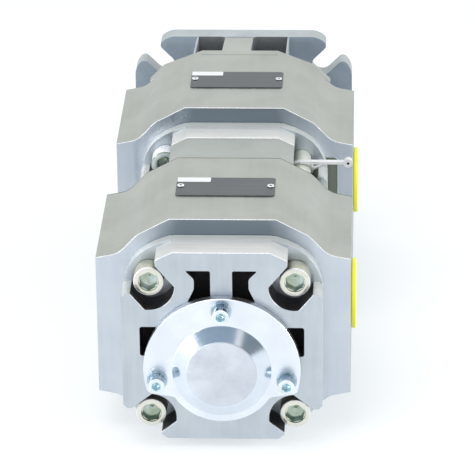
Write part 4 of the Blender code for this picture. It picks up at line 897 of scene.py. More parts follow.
def make_housing(stage):
    """A pump housing: winged profile, gear cavity, bearing bore, ports and threaded holes."""
    start, end = HOUSING_FACE[stage], HOUSING_END[stage]
    # the housing's broken end edges get the painted highlight
    housing = prism("housing", casting_outline(HOUSING_HALF_WIDTH, True), start, end, END_FACE,
                    edge=HOUSING_EDGE, edge_material=PAINTED_HIGHLIGHT_EDGE)
    add_looks(housing, PROFILE)
    # splits off the rear strip, where the near housing gets its painted shade line
    split_across(housing, end - REAR_EDGE)
    tools = [cylinder(CAVITY_RADIUS, start - OVERRUN, start + CAVITY_DEPTH, RING, FINE),
             cylinder(BEARING_BORE_RADIUS, start + CAVITY_DEPTH / 2, end + OVERRUN, SHAFT)]
    tools += [cylinder(SCREW_RADIUS + BOLT_GAP, start - OVERRUN, start + SCREW_HOLE_DEPTH, place, SMALL)
              for place in screw_places().values()]
    middle = ((start + end + GAP) / 2, CASTING_MIDDLE)
    threads = []
    for side, (radius, spacing_z, spacing_y) in PORTS.items():
        outside = side * (HOUSING_HALF_WIDTH + OVERRUN)
        ends = sorted((outside, side * (CAVITY_RADIUS - PORT_BITE)))
        tools.append(cylinder(radius, *ends, middle, ROUND, "X"))
        ends = sorted((outside, side * (HOUSING_HALF_WIDTH - PORT_THREAD_DEPTH)))
        for sy, sz in ((-0.5, -0.5), (-0.5, 0.5), (0.5, -0.5), (0.5, 0.5)):
            place = (middle[0] + sy * spacing_y, middle[1] + sz * spacing_z)
            threads.append((side, *place))
            tools.append(cylinder(PORT_THREAD_RADIUS, *ends, place, SMALL, "X"))
    if stage == 1:
        # a shallow recess in the far housing's end face, with painted shade inside and a painted highlight on
        # its lip
        left, right, top, bottom, floor = SIDE_RECESS
        for wider, depth, look, corner in ((0, floor, RECESS_PAINTED_SHADE, RECESS_CORNER),
                                           (RECESS_LIP, RECESS_LIP, RECESS_LIP_PAINTED_HIGHLIGHT, LIP_CORNER)):
            loop = [(x, RING_Z + z) for x, z in ((left, top + wider), (right + wider, top + wider),
                                                 (right + wider, bottom), (left, bottom))]
            tools.append(prism("recess", loop, start - OVERRUN, start + depth, look, corner=corner))
    reshape(housing, "DIFFERENCE", tools)
    add_looks(housing, THREAD_BORE_PAINTED_SHADE, PAINTED_SHADE_EDGE)
    slots = look_slots(housing)

    def slot_for(face):
        """Keeps the recess's painted shade, its lip's painted highlight and the painted highlight on the
        upper front edge; the near housing gets a painted shade line along its upper rear edge.
        """
        centre = face.calc_center_median()
        high_up = centre.z > RING_Z + PAINTED_HIGHLIGHT_EDGE_FROM
        name = look_of(housing, face)
        bright = name == PAINTED_HIGHLIGHT_EDGE.name and centre.y < start + REAR_EDGE and high_up
        if bright or name in (RECESS_PAINTED_SHADE.name, RECESS_LIP_PAINTED_HIGHLIGHT.name):
            return face.material_index
        if abs(face.normal.y) > SQUARE:
            return slots[END_FACE.name]
        # painted shade line on the near housing's upper rear edge
        if stage == 2 and centre.y > end - REAR_EDGE and high_up and face.normal.z > 0:
            return slots[PAINTED_SHADE_EDGE.name]
        # the thread holes' walls take painted shade
        for side, y, z in threads:
            near = math.hypot(centre.y - y, centre.z - z) < PORT_THREAD_RADIUS + GAP
            if near and centre.x * side > 0 and abs(centre.x) < HOUSING_HALF_WIDTH - GAP:
                return slots[THREAD_BORE_PAINTED_SHADE.name]
        return slots[PROFILE.name]

    clean(housing, slot_for)
    finish_piece(housing, f"housing_{stage}_casting", "casting", [f"housing_{stage}"], even=True)


def make_coupling_housing():
    """The block between the stages."""
    start, end = low("coupling_housing").y, high("coupling_housing").y
    # the block's broken end edges get the painted highlight
    piece = prism("coupling", cover_outline(), start, end, COUPLING_SIDE, edge=COVER_EDGE,
                  edge_material=PAINTED_HIGHLIGHT_EDGE)
    add_looks(piece, END_FACE)
    reshape(piece, "DIFFERENCE", [cylinder(COUPLING_BORE_RADIUS, start - OVERRUN, end + OVERRUN, SHAFT)])
    milled = look_slots(piece)[END_FACE.name]
    clean(piece, lambda face: milled if abs(face.normal.y) > SQUARE else face.material_index)
    finish_piece(piece, "coupling_casting", "casting", ["coupling_housing"], even=True)


def flange_plate_outline():
    """A square with round corners and four open slots along its diagonals."""
    half = SLOT_WIDTH / 2
    flat = math.degrees(math.asin(FLANGE_HALF / FLANGE_CORNER_RADIUS))
    slot_turn = math.degrees(math.asin(half / FLANGE_CORNER_RADIUS))
    tip = arc((0, 0), FLANGE_CORNER_RADIUS, flat, 45 + slot_turn, 1)
    middle = BOLT_CIRCLE_RADIUS / math.sqrt(2)
    corner = tip + arc((middle, middle), half, 135, 315, 18) + [(z, x) for x, z in reversed(tip)]
    points = []
    for quarter in range(4):
        turn = -quarter * math.pi / 2
        cosine, sine = math.cos(turn), math.sin(turn)
        points += [(x * cosine - z * sine, SHAFT_Z + x * sine + z * cosine) for x, z in corner]
    return points


def flange_opening(inner, outer, sign):
    """A cast pocket between two ribs, rounded beside the middle rib, as a tool that cuts it."""
    start, end = FLANGE_FOOT + FLANGE_FOOT_THICKNESS, PLATE_FACE + GAP
    side = 1 if outer > inner else -1
    centre_x = inner + side * OPENING_ROUND
    first = arc((centre_x, start + OPENING_ROUND), OPENING_ROUND, 270, 180 if side > 0 else 360, 6)
    second = arc((centre_x, end - OPENING_ROUND), OPENING_ROUND, 180 if side > 0 else 0, 90, 6)
    loop = [(outer, start)] + first + second + [(outer, end)]
    levels = sorted((SHAFT_Z + sign * OPENING_FLOOR, SHAFT_Z + sign * OPENING_REACH))
    return prism("opening", loop, *levels, SHADED_CASTING, axis="Z")


def flange_rib(left, right, sign, drop=0.0):
    """A rib that slopes from the casting's foot to the plate, above or below the shaft."""
    start = FLANGE_FOOT + FLANGE_FOOT_THICKNESS / 2
    near = CASTING_MIDDLE + sign * (HOUSING_HALF_HEIGHT - RIB_INSET - drop)
    far = SHAFT_Z + sign * (FLANGE_HALF - RIB_INSET)
    root = SHAFT_Z + sign * RIB_REACH_IN
    end = PLATE_FACE + FLANGE_PLATE_THICKNESS / 3
    loop = [(start, root), (start, near), (FLANGE_FOOT + FLANGE_FOOT_THICKNESS, near), (PLATE_FACE, far),
            (end, far), (end, root)]
    return prism("rib", loop, left, right, RAW_CASTING, axis="X")


def make_flange():
    """The drive flange: foot, ribbed neck, slotted plate and pilot, with cast fillets."""
    plate = prism("flange", flange_plate_outline(), PLATE_FACE, MOUNTING_FACE, RAW_CASTING,
                  corner=FLANGE_CORNER_ROUND)
    foot_end = FLANGE_FOOT + FLANGE_FOOT_THICKNESS
    neck_start = FLANGE_FOOT + FLANGE_FOOT_THICKNESS / 2
    foot = prism("foot", casting_outline(FLANGE_FOOT_HALF, False), FLANGE_FOOT, foot_end, RAW_CASTING)
    core = cylinder(FLANGE_CORE_RADIUS, neck_start, PLATE_FACE + OVERLAP, SHAFT, FINE, material=RAW_CASTING)
    reach = FLANGE_FOOT_HALF - RIB_INSET
    side_web = block("side_web", (-reach, neck_start, SHAFT_Z - SIDE_WEB_HALF),
                     (reach, PLATE_FACE + OVERLAP, SHAFT_Z + SIDE_WEB_HALF), RAW_CASTING)
    inner_x = OUTER_RIB_X - OUTER_RIB_THICKNESS
    drop = SHOULDER_DROP * (OUTER_RIB_X - FOOT_FLAT_HALF) / (SHOULDER_HALF - FOOT_FLAT_HALF)
    ribs, openings = [], []
    for sign in (-1, 1):
        ribs += [flange_rib(-OUTER_RIB_X, -inner_x, sign, drop), flange_rib(inner_x, OUTER_RIB_X, sign, drop),
                 flange_rib(CENTRE_RIB[0] - OPENING_ROUND, CENTRE_RIB[1] + OPENING_ROUND, sign)]
        openings += [flange_opening(CENTRE_RIB[0], -inner_x, sign),
                     flange_opening(CENTRE_RIB[1], inner_x, sign)]
    pilot = cylinder(PILOT_RADIUS, MOUNTING_FACE - OVERLAP, FLANGE_FRONT, SHAFT, FINE, material=END_FACE)
    reshape(plate, "UNION", [foot, core, side_web, pilot] + ribs)
    seal_floor = FLANGE_FRONT - CIRCLIP_INSET - CIRCLIP_THICKNESS - SEAL_WIDTH - 3 * GAP
    groove_start = FLANGE_FRONT - CIRCLIP_INSET - CIRCLIP_THICKNESS - GAP
    tools = [cylinder(FLANGE_BORE_RADIUS, FLANGE_FOOT - OVERRUN, FLANGE_FRONT + OVERRUN, SHAFT),
             cylinder(SEAL_RADIUS + GAP, seal_floor, FLANGE_FRONT + OVERRUN, SHAFT),
             cylinder(SEAL_RADIUS + CIRCLIP_GROOVE_DEPTH + 2 * GAP, groove_start,
                      FLANGE_FRONT - CIRCLIP_INSET + GAP, SHAFT)]
    reshape(plate, "DIFFERENCE", tools + openings)
    add_looks(plate, END_FACE, REAR_CASTING_PAINTED_SHADE, PROFILE)
    slots = look_slots(plate)

    def slot_for(face):
        """Milled ends, painted shade on the back of the plate, and the housings' look on foot and middle rib.
        """
        middle = face.calc_center_median()
        if look_of(plate, face) == SHADED_CASTING.name:
            return face.material_index
        front = face.normal.y > SQUARE and middle.y > PLATE_FACE + OVERLAP
        if front or face.normal.y < -SQUARE and middle.y < foot_end:
            return slots[END_FACE.name]
        if face.normal.y < -SQUARE:
            return slots[REAR_CASTING_PAINTED_SHADE.name]
        on_foot = middle.y < foot_end and abs(face.normal.y) < ACROSS
        on_rib = abs(middle.x) < OPENING_RIB_HALF and face.normal.z > UPWARD and middle.y < PLATE_FACE
        return slots[PROFILE.name] if on_foot or on_rib else slots[RAW_CASTING.name]

    clean(plate, slot_for)
    finish_piece(plate, "drive_flange_casting", "casting", ["drive_flange"], FLANGE_EDGE, 3)


def socket_screw(name, place, top, head, shank_end, radius, hexagon, turn, looks, edge, slot="yellow_zinc",
                 socket=SOCKET_PAINTED_GLINT):
    """A socket head screw along Y: head, shank and a hexagon socket with a drilled floor.

    Looks are those of the head's top and of its side; the head's edge carries a painted highlight.
    """
    head_radius, head_end = head
    width, depth = hexagon
    profile = [(0, top), (head_radius - edge, top), (head_radius - edge * EDGE_BEND, top + edge * EDGE_BEND),
               (head_radius, top + edge), (head_radius, head_end - edge / 2),
               (head_radius - edge / 2, head_end), (radius, head_end), (radius, shank_end), (0, shank_end)]
    look, side = looks
    screw = turned(name, profile, place, look, FINE)
    # the head's chamfer gets the painted highlight
    add_looks(screw, side, PAINTED_HIGHLIGHT_EDGE)
    for face in screw.data.polygons:
        if face.center.y > top + edge:
            face.material_index = 1
        elif face.normal.y > -FLAT:
            face.material_index = 2
    corner = width / 2 / math.cos(math.pi / 6)
    tools = [cylinder(corner, top - OVERRUN, top + depth, place, 6, material=socket, turn=turn),
             cylinder(corner + depth / 16, top - depth / 8, top + depth / 8, place, ROUND, material=look,
                      end_radius=corner - depth / 16),
             cylinder(width * SOCKET_DRILL, top + depth - GAP, top + depth + width / 6, place, ROUND,
                      material=socket, end_radius=GAP)]
    reshape(screw, "DIFFERENCE", tools)
    clean(screw)
    stand_in(screw, name, slot, sharp=24)


def make_cover_screws(stage):
    """The screws in a cover's corner pockets; the upper right one of stage 1 is a plain stud."""
    foot_face = HOUSING_FACE[stage] - COVER_FOOT_THICKNESS
    for corner, place in screw_places().items():
        name = f"cover_screw_{stage}_{corner}"
        top = low(name).y
        if (stage, corner) == (1, "top_right"):
            start, end = low("coupling_housing").y + STUD_END_GAP, high(name).y
            stud = turned(name, [(0, start), (SCREW_RADIUS, start), (SCREW_RADIUS, end), (0, end)], place,
                          STUD_ZINC)
            stand_in(stud, name, "yellow_zinc", SCREW_EDGE, 3)
            continue
        turn = 0 if corner.startswith("top") else LOWER_SOCKET_TURN
        # the near heads' sides take painted shade, the far heads painted light
        looks = (YELLOW_ZINC, YELLOW_ZINC_SHADED_SIDE) if stage == 2 else (FAR_ZINC_PAINTED_LIGHT, FAR_ZINC_PAINTED_LIGHT)
        socket_screw(name, place, top, (SCREW_HEAD_RADIUS, foot_face - GAP), foot_face + SCREW_LENGTH,
                     SCREW_RADIUS, (SCREW_HEX, SCREW_HEX_DEPTH), turn, looks, SCREW_EDGE)


def washer(name, hole, radius, start, end, place):
    profile = [(hole, end), (radius, end), (radius, start), (hole, start)]
    return turned(name, profile, place, BLUE_ZINC, closed=True)


def make_cap_fixings():
    """The rear cap's screws, each on a flat washer and a split spring washer."""
    face = COVER_FACE[2] - GAP - CAP_THICKNESS - GAP
    for side, angle in CAP_SCREWS.items():
        place = cap_screw_place(angle)
        flat_face = face - WASHER_THICKNESS
        name = f"cap_washer_{side}"
        hole = CAP_SCREW_RADIUS + BOLT_GAP
        start = flat_face - SPRING_WASHER_THICKNESS
        flat = washer(name, hole, WASHER_RADIUS, flat_face, face, place)
        finish_piece(flat, name + "_flat", "blue_zinc", [name], WASHER_EDGE)
        spring = washer(name, hole, SPRING_WASHER_RADIUS, start, flat_face, place)
        gap_x = place[0] + CAP_SCREW_RADIUS / 2
        slit = block("slit", (gap_x, start - OVERRUN, place[1] + hole),
                     (gap_x + 2 * GAP, flat_face + OVERRUN, place[1] + 2 * hole), BLUE_ZINC)
        reshape(spring, "DIFFERENCE", [slit])
        finish_piece(spring, name + "_spring", "blue_zinc", (), SPRING_WASHER_EDGE)
        name = f"cap_screw_{side}"
        socket_screw(name, place, start - GAP - CAP_SCREW_HEAD_HEIGHT, (CAP_SCREW_HEAD_RADIUS, start - GAP),
                     start + CAP_SCREW_LENGTH, CAP_SCREW_RADIUS, (CAP_SCREW_HEX, CAP_SCREW_HEX_DEPTH),
                     CAP_SOCKET_TURN, (CAP_ZINC_PAINTED_LIGHT, BLUE_ZINC), CAP_SCREW_EDGE, "blue_zinc", BLUE_SOCKET_PAINTED_GLINT)


def about_shaft(point):
    """A point's distance from the shaft's axis and its angle about it."""
    x, z = point.x, point.z - SHAFT_Z
    return math.hypot(x, z), math.atan2(z, x)


def cap_edge(angle):
    """The cap's outer radius at an angle: full above, cut back below the ears."""
    below = math.degrees(math.asin(max(0.0, -math.sin(angle))))
    ear = math.degrees(math.asin(CAP_LOWER_CHORD / CAP_RADIUS))
    lower = math.degrees(math.asin(CAP_LOWER_START / CAP_LOWER_RADIUS))
    if below <= ear:
        return CAP_RADIUS
    if below >= lower:
        return CAP_LOWER_RADIUS
    first = Vector((math.cos(math.radians(ear)), -math.sin(math.radians(ear)))) * CAP_RADIUS
    step = Vector((math.cos(math.radians(lower)), -math.sin(math.radians(lower)))) * CAP_LOWER_RADIUS - first
    slope = math.tan(math.radians(below))
    share = (-slope * first.x - first.y) / (step.y + slope * step.x)
    return (first.x + share * step.x) / math.cos(math.radians(below))


def make_cap():
    """The turned rear cap: middle, cone, plate with a chamfered rim, and spigot.

    The round profile is drawn in below the ears, and its UV map runs round the axis for the turning marks.
    """
    boss_top = low("rear_cap").y
    plate = boss_top + CAP_BOSS_HEIGHT
    face = plate + CAP_THICKNESS
    rim = CAP_RADIUS - CAP_RIM_CHAMFER
    top_in, top_down = CAP_TOP_ROUND
    base_in, base_up = CAP_BASE_ROUND
    profile = [(radius, boss_top) for radius in (0, *CAP_MIDDLE_STEPS, CAP_BOSS_TOP_RADIUS - top_in)]
    profile += [(CAP_BOSS_TOP_RADIUS, boss_top + top_down), (CAP_BOSS_BASE_RADIUS - base_in, plate - base_up),
               (CAP_BOSS_BASE_RADIUS, plate), (CAP_PLATE_STEP, plate), (rim, plate),
               (CAP_RADIUS, plate + CAP_RIM_CHAMFER),
               (CAP_RADIUS, face), (CAP_SPIGOT_RADIUS, face), (CAP_SPIGOT_RADIUS, face + CAP_SPIGOT_LENGTH),
               (0, face + CAP_SPIGOT_LENGTH)]
    cap = turned("rear_cap", profile, SHAFT, CAP_METAL, CAP_STEPS)
    add_looks(cap, CAP_CONE_METAL, CAP_MIDDLE_METAL, CAP_RIM_METAL)
    with mesh_of(cap) as shape:
        for vert in shape.verts:
            radius, angle = about_shaft(vert.co)
            if radius > CAP_BOSS_BASE_RADIUS + GAP:
                share = (radius - CAP_BOSS_BASE_RADIUS) / (CAP_RADIUS - CAP_BOSS_BASE_RADIUS)
                wanted = CAP_BOSS_BASE_RADIUS + share * (cap_edge(angle) - CAP_BOSS_BASE_RADIUS)
                vert.co.x, vert.co.z = polar(SHAFT, wanted, angle)
        layer = shape.loops.layers.uv.new("turning")
        for facet in shape.faces:
            middle = facet.calc_center_median()
            radius, about = about_shaft(middle)
            if middle.y < plate - GAP and radius < CAP_BOSS_BASE_RADIUS:
                facet.material_index = 2 if radius < CAP_BOSS_TOP_RADIUS else 1
            if plate + CAP_RIM_CHAMFER < middle.y < face:
                facet.material_index = 3
            for loop in facet.loops:
                radius, turn = about_shaft(loop.vert.co)
                turn = turn if radius > GAP else about
                turn += 2 * math.pi * round((about - turn) / (2 * math.pi))
                loop[layer].uv = (turn / (2 * math.pi), radius * UV_PER_METRE)
    stand_in(cap, "rear_cap", "turned_aluminium", sharp=16)


def make_plates(stage):
    """The bare nameplate with its light field, and its two hollow rivets."""
    first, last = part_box(f"nameplate_{stage}")
    middle_y = (first.y + last.y) / 2 + PLATE_SHIFT
    half_width, half_depth = PLATE_HALF_SIZE
    first = Vector((-half_width, middle_y - half_depth, first.z))
    last = Vector((half_width, middle_y + half_depth, last.z))
    loop = [(first.x, first.y), (last.x, first.y), (last.x, last.y), (first.x, last.y)]
    plate = prism("plate", loop, first.z, last.z, PLATE_DARK, axis="Z", corner=PLATE_CORNER, steps=5)
    stand_in(plate, f"nameplate_{stage}", "dark_plate", PLATE_EDGE)
    inset, width, depth = PLATE_FIELD
    left, rear = first.x + inset, last.y - inset
    field = [(left, rear - depth), (left + width, rear - depth), (left + width, rear), (left, rear)]
    strip = prism("field", field, last.z, last.z + PLATE_FIELD_HEIGHT, PLATE_LIGHT, axis="Z",
                  corner=PLATE_FIELD_CORNER)
    finish_piece(strip, f"nameplate_{stage}_field", "dark_plate")
    for side, x in (("left", -RIVET_X), ("right", RIVET_X)):
        name = f"rivet_{stage}_{side}"
        first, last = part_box(name)
        centre = (x, middle_y)
        start = last.z - RIVET_HEIGHT
        rivet = cylinder(RIVET_RADIUS, start, last.z, centre, SMALL, "Z", RIVET_METAL)
        # the rivet's hole takes painted shade
        reshape(rivet, "DIFFERENCE", [cylinder(RIVET_HOLE_RADIUS, start + GAP, last.z + OVERRUN, centre,
                                               SMALL, "Z", HOLLOW_PAINTED_SHADE)])
        stand_in(rivet, name, "blue_zinc", RIVET_EDGE, 3)


def make_port_cap(stage):
    """The yellow disc over the pressure port, with a rounded rim and a plug."""
    first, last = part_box(f"port_cap_{stage}")
    centre = ((first.y + last.y) / 2, (first.z + last.z) / 2)
    radius = (last.z - first.z) / 2
    disc = cylinder(radius, HOUSING_HALF_WIDTH + GAP, last.x, centre, FINE, "X", YELLOW_PLASTIC)
    plug = cylinder(PORTS[1][0] - RUNNING_GAP, first.x, last.x - OVERRUN, centre, FINE, "X", YELLOW_PLASTIC)
    reshape(disc, "UNION", [plug])
    clean(disc)
    stand_in(disc, f"port_cap_{stage}", "yellow_plastic", PORT_CAP_EDGE, 4, sharp=50)


def make_strap():
    """The plastic strap round the stud, with a straight strand to its eye and a slanting one below.

    Its loop leans back from the strand, so that it goes round the stud at the plain strap's place.
    """
    start = COVER_FACE[1] - STRAP_INSET
    end = start + STRAP_WIDTH
    lean = (low("seal_strap").y + high("seal_strap").y - start - end) / 2
    screw_x, screw_z = screw_places()["top_right"]
    inner = SCREW_RADIUS + GAP
    outer = inner + STRAP_WALL
    middle = inner + STRAP_WALL / 2
    loop = turned("strap", [(inner, start), (outer, start), (outer, end), (inner, end)], (screw_x, screw_z),
                  CLEAR_PLASTIC, ROUND, closed=True)
    eye = (STRAP_EYE_X, screw_z + middle)
    below, above = screw_z + inner + GAP / 2, screw_z + outer
    arm = prism("arm", [(screw_x, below), (eye[0], below), (eye[0], above), (screw_x, above)],
                start + GAP, end - GAP, CLEAR_PLASTIC)
    low_x, low_z = polar((screw_x, screw_z), middle, math.radians(STRAP_JOIN_ANGLE))
    strand = prism("strand", [(low_x, low_z), (STRAP_JOIN_X, eye[1] - STRAP_WALL / 3), (STRAP_JOIN_X, eye[1]),
                              (low_x, low_z + STRAP_WALL)], start + 2 * GAP, end - 2 * GAP, CLEAR_PLASTIC)
    for part in (loop, strand):
        for vert in part.data.vertices:
            vert.co.y += lean * min(1, max(0, (eye[1] - vert.co.z) / (2 * middle)))
    eyelet = cylinder(STRAP_EYE_RADIUS, start, end, eye, ROUND, material=CLEAR_PLASTIC)
    reshape(loop, "UNION", [arm, strand, eyelet])
    # the eye's hole takes painted shade
    reshape(loop, "DIFFERENCE", [cylinder(STRAP_HOLE_RADIUS, start - OVERRUN, end + OVERRUN, eye, SMALL,
                                          material=HOLLOW_PAINTED_SHADE)])
    clean(loop)
    stand_in(loop, "seal_strap", "clear_plastic", STRAP_EDGE, 3)


def pinion_outline():
    """The pinion's toothed outline about the shaft's axis, with one tooth pointing down."""
    pitch = MODULE * TEETH / 2
    base = pitch * math.cos(PRESSURE_ANGLE)
    inner, outer = pitch - TOOTH_ADDENDUM - ROOT_CLEARANCE, pitch + TOOTH_ADDENDUM

    def involute(angle):
        return math.tan(angle) - angle

    def half_angle(radius):
        pressure = math.acos(min(1.0, base / radius))
        return math.pi / (2 * TEETH) + involute(PRESSURE_ANGLE) - involute(pressure) - FLANK_GAP / pitch

    lowest = max(inner, base * 1.0001)
    flank = [(inner, half_angle(lowest))] if inner < lowest else []
    radii = [lowest + (outer - lowest) * i / (FLANK_POINTS - 1) for i in range(FLANK_POINTS)]
    flank += [(radius, half_angle(radius)) for radius in radii]
    points = []
    for tooth in range(TEETH):
        middle = 2 * math.pi * tooth / TEETH - math.pi / 2
        side = [(radius, middle - turn) for radius, turn in flank]
        side += [(radius, middle + turn) for radius, turn in reversed(flank)]
        points += [polar(SHAFT, radius, angle) for radius, angle in side]
    return points


def spline_outline():
    """The shaft's straight sided spline."""
    points = []
    (root, tip), (root_share, tip_share) = SPLINE_RADII, SPLINE_SHARES
    for tooth in range(SPLINE_TEETH):
        middle = 2 * math.pi * tooth / SPLINE_TEETH
        for radius, share in ((root, -root_share), (tip, -tip_share), (tip, tip_share), (root, root_share)):
            angle = middle + math.pi / SPLINE_TEETH * share
            points.append(polar(SHAFT, radius, angle))
    return points


def make_drive_shaft():
    """The front shaft: spline, journal, pinion, drive end with keyway and centre hole, and its key."""
    rear, end = low("pinion_shaft_1").y, high("pinion_shaft_1").y
    journal = COVER_FACE[1] + JOURNAL_INSET
    gear = HOUSING_FACE[1] + GEAR_INSET
    chamfer = SHAFT_END_CHAMFER
    profile = [(0, journal), (JOURNAL_RADIUS - GAP, journal), (JOURNAL_RADIUS, journal + GAP),
               (JOURNAL_RADIUS, FLANGE_FRONT), (DRIVE_END_RADIUS, FLANGE_FRONT),
               (DRIVE_END_RADIUS, end - chamfer), (DRIVE_END_RADIUS - chamfer, end), (0, end)]
    shaft = turned("shaft", profile, SHAFT, GROUND_STEEL, FINE)
    pinion = prism("pinion", pinion_outline(), gear, gear + GEAR_WIDTH, GEAR_STEEL)
    spline = prism("spline", spline_outline(), rear, journal + OVERLAP, GEAR_STEEL)
    reshape(shaft, "UNION", [pinion, spline])
    key_first, key_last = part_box("drive_key")
    grown = Vector((GAP, GAP, GAP))
    top = Vector((0, 0, OVERRUN))
    mouth = CENTRE_HOLE_MOUTH
    # the centre hole takes painted shade
    tools = [block("keyway", key_first - grown, key_last + grown + top, GROUND_STEEL),
             cylinder(CENTRE_HOLE_RADIUS, end - CENTRE_HOLE_DEPTH, end + OVERRUN, SHAFT,
                      material=HOLLOW_PAINTED_SHADE),
             cylinder(CENTRE_HOLE_RADIUS - GAP, end - mouth / 2, end + GAP, SHAFT,
                      material=GROUND_STEEL, end_radius=mouth)]
    reshape(shaft, "DIFFERENCE", tools)
    clean(shaft)
    stand_in(shaft, "pinion_shaft_1", "hardened_steel", STEEL_EDGE, body="rotor")
    key = block("key", key_first, key_last, KEY_STEEL)
    stand_in(key, "drive_key", "hardened_steel", KEY_EDGE, body="rotor")


def make_shaft_seal():
    """The lip seal round the drive shaft, and the circlip with its two eyes."""
    first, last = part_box("shaft_seal")
    lip = JOURNAL_RADIUS + GAP
    start, end = first.y, last.y
    seal = turned("seal", [(lip, start + SEAL_LIP), (lip + SEAL_LIP, start), (SEAL_RADIUS, start),
                           (SEAL_RADIUS, end), (lip + SEAL_LIP, end), (lip + SEAL_LIP, end - SEAL_LIP)],
                  SHAFT, BLACK_RUBBER, FINE, closed=True)
    stand_in(seal, "shaft_seal", "seal_rubber", SEAL_EDGE)
    first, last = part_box("seal_circlip")
    outer = SEAL_RADIUS + CIRCLIP_GROOVE_DEPTH
    from_angle, to_angle = -90 + CIRCLIP_MOUTH / 2, 270 - CIRCLIP_MOUTH / 2
    band = arc(SHAFT, outer, from_angle, to_angle, FINE)
    band += arc(SHAFT, outer - CIRCLIP_WIDTH, to_angle, from_angle, FINE)
    clip = prism("clip", band, first.y, last.y, BLACK_OXIDE)
    ears, eyes = [], []
    for angle in (from_angle, to_angle):
        place = polar(SHAFT, outer - CIRCLIP_EAR_RADIUS - GAP, math.radians(angle))
        ears.append(cylinder(CIRCLIP_EAR_RADIUS, first.y, last.y, place, SMALL, material=BLACK_OXIDE))
        eyes.append(cylinder(CIRCLIP_EYE_RADIUS, first.y - OVERRUN, last.y + OVERRUN, place, SMALL,
                             material=BLACK_OXIDE))
    reshape(clip, "UNION", ears)
    reshape(clip, "DIFFERENCE", eyes)
    clean(clip)
    stand_in(clip, "seal_circlip", "hardened_steel", STEEL_EDGE)


def dress_nodes():
    """Finishes for the plain pieces that stay as they are."""
    looks = [
        (GEAR_STEEL, "ring_gear", "coupling_sleeve", "stop_pin", "upper_seal", "lower_seal"),
        (GROUND_STEEL, "pinion_shaft", "drive_key"),
        (BRONZE, "rear_bush", "front_bush", "rear_thrust", "front_thrust", "segment_carrier", "crescent"),
        (YELLOW_ZINC, "cover_screw"), (BLUE_ZINC, "cap_screw", "cap_washer", "rivet"),
        (BLACK_RUBBER, "cover_seal", "shaft_seal"), (PAINTED_HIGHLIGHT_EDGE, "rear_cap"), (PLATE_DARK, "nameplate"),
        (YELLOW_PLASTIC, "port_cap"), (BLACK_OXIDE, "seal_circlip"), (CLEAR_PLASTIC, "seal_strap"),
        (COVER_METAL, "bearing_cover"), (END_FACE, "housing", "coupling_housing"),
        (RAW_CASTING, "drive_flange"),
    ]
    for name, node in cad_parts.items():
        look = next(look for look, *starts in looks if name.startswith(tuple(starts)))
        node.data.materials.clear()
        node.data.materials.append(look)


# Studio

def make_studio():
    """White surroundings with plain light, and soft lamps."""
    world = bpy.data.worlds.new("white_room")
    bpy.context.scene.world = world
    world.use_nodes = True
    nodes, links = world.node_tree.nodes, world.node_tree.links
    seen = nodes["Background"]
    set_inputs(seen, Color=(1, 1, 1, 1), Strength=1.0)
    given = add_node(nodes, "Background", Color=ROOM_LIGHT, Strength=ROOM_STRENGTH)
    mixed = mix_by_ray(nodes, links, given.outputs["Background"], seen.outputs["Background"])
    links.new(mixed, nodes["World Output"].inputs["Surface"])

    for name, (place, size, power, colour) in LAMPS.items():
        light = bpy.data.lights.new(name, "AREA")
        light.shape = "DISK"
        light.size = size
        light.energy = power
        light.color = colour
        lamp = bpy.data.objects.new(name, light)
        lamp.location = place
        lamp.rotation_euler = (Vector(LAMP_AIM) - Vector(place)).to_track_quat("-Z", "Y").to_euler()
        bpy.context.scene.collection.objects.link(lamp)


def make_screens():
    """Grey screens in front of the pump that only reflections see, for the cap's turned cone."""
    target = Vector((0, COVER_FACE[2], SHAFT_Z))
    for name, ((turn, rise), size, colour) in SCREENS.items():
        across, up = math.radians(turn), math.radians(rise)
        way = Vector((math.sin(across) * math.cos(up), -math.cos(across) * math.cos(up), math.sin(up)))
        shape = bmesh.new()
        bmesh.ops.create_grid(shape, x_segments=1, y_segments=1, size=0.5)
        bmesh.ops.scale(shape, vec=(*size, 1), verts=shape.verts)
        facing = (-way).to_track_quat("Z", "Y").to_matrix().to_4x4()
        place = Matrix.Translation(target + way * SCREEN_DISTANCE)
        bmesh.ops.transform(shape, matrix=place @ facing, verts=shape.verts)
        material, nodes, links = new_material(name)
        glow = add_node(nodes, "Emission", Color=(*linear(colour), 1))
        links.new(glow.outputs["Emission"], nodes["Material Output"].inputs["Surface"])
        screen = new_piece(name, shape, material)
        for ray in ("visible_camera", "visible_diffuse", "visible_shadow", "visible_transmission"):
            setattr(screen, ray, False)


def direct_ray(nodes, links):
    """One where a ray comes from the camera, a reflection or a transmission, otherwise zero."""
    path = add_node(nodes, "LightPath")
    value = path.outputs["Is Camera Ray"]
    for ray in ("Is Glossy Ray", "Is Transmission Ray"):
        either = add_node(nodes, "Math", {"operation": "MAXIMUM"})
        links.new(value, either.inputs[0])
        links.new(path.outputs[ray], either.inputs[1])
        value = either.outputs["Value"]
    return value


def mix_by_ray(nodes, links, other, direct):
    """Shows one shader to direct rays and another to all other rays."""
    mix = add_node(nodes, "MixShader")
    links.new(direct_ray(nodes, links), mix.inputs["Fac"])
    links.new(other, mix.inputs[1])
    links.new(direct, mix.inputs[2])
    return mix.outputs["Shader"]


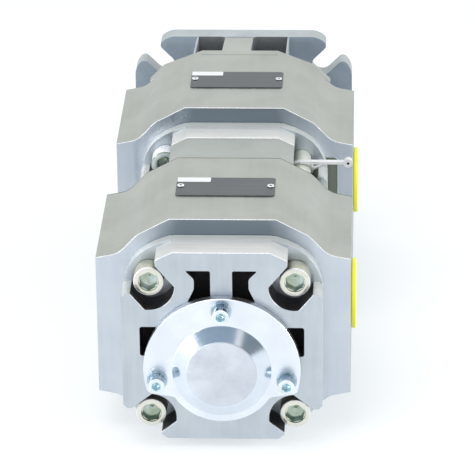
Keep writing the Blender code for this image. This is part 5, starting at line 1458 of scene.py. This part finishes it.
def make_floor():
    """A pale floor under the pump, which rests on the flange and on the rear housing's lower edge."""
    front = Vector((0, MOUNTING_FACE, low("drive_flange").z))
    rear = Vector((0, HOUSING_FACE[2], low("housing_2").z))
    shape = bmesh.new()
    bmesh.ops.create_grid(shape, x_segments=1, y_segments=1, size=FLOOR_SIZE)
    floor = new_piece("floor", shape)
    along = front - rear
    floor.rotation_euler = (math.atan2(along.z, along.y), 0, 0)
    floor.location = rear - Vector((0, 0, FLOOR_GAP))
    material, nodes, links = new_material("pale_floor")
    shader = nodes["Principled BSDF"]
    set_inputs(shader, Base_Color=FLOOR_COLOUR, Roughness=0.9, Specular_IOR_Level=0.0)
    glow = add_node(nodes, "Emission", Color=FLOOR_GLOW, Strength=1.0)
    both = add_node(nodes, "AddShader")
    links.new(shader.outputs["BSDF"], both.inputs[0])
    links.new(glow.outputs["Emission"], both.inputs[1])
    lit = mix_by_ray(nodes, links, shader.outputs["BSDF"], both.outputs["Shader"])
    links.new(lit, nodes["Material Output"].inputs["Surface"])
    floor.data.materials.append(material)


def make_camera():
    """A long lens, behind the pump, slightly to the right and looking down."""
    pitch, yaw, roll = (math.radians(turn) for turn in CAMERA_TURNS)
    forward = Vector((-math.sin(yaw) * math.cos(pitch), math.cos(yaw) * math.cos(pitch), -math.sin(pitch)))
    right = forward.cross(Vector((0, 0, 1))).normalized()
    up = right.cross(forward)
    turned_right = right * math.cos(roll) + up * math.sin(roll)
    turned_up = up * math.cos(roll) - right * math.sin(roll)
    data = bpy.data.cameras.new("camera")
    data.sensor_width = CAMERA_SENSOR
    data.lens = CAMERA_LENS
    data.clip_end = CAMERA_REACH
    camera = bpy.data.objects.new("camera", data)
    turn = Matrix((turned_right, turned_up, -forward)).transposed().to_4x4()
    place = Vector((0, HOUSING_FACE[2], RING_Z)) + Vector(CAMERA_PLACE)
    camera.matrix_world = Matrix.Translation(place) @ turn
    bpy.context.scene.collection.objects.link(camera)
    bpy.context.scene.camera = camera


def main():
    bpy.context.scene.view_settings.view_transform = "Standard"
    make_camera()
    make_studio()
    make_floor()
    make_screens()
    dress_nodes()
    for stage in (1, 2):
        make_cover(stage)
        make_housing(stage)
        make_cover_screws(stage)
        make_plates(stage)
        make_port_cap(stage)
    make_coupling_housing()
    make_flange()
    make_cap()
    make_cap_fixings()
    make_strap()
    make_drive_shaft()
    make_shaft_seal()


main()
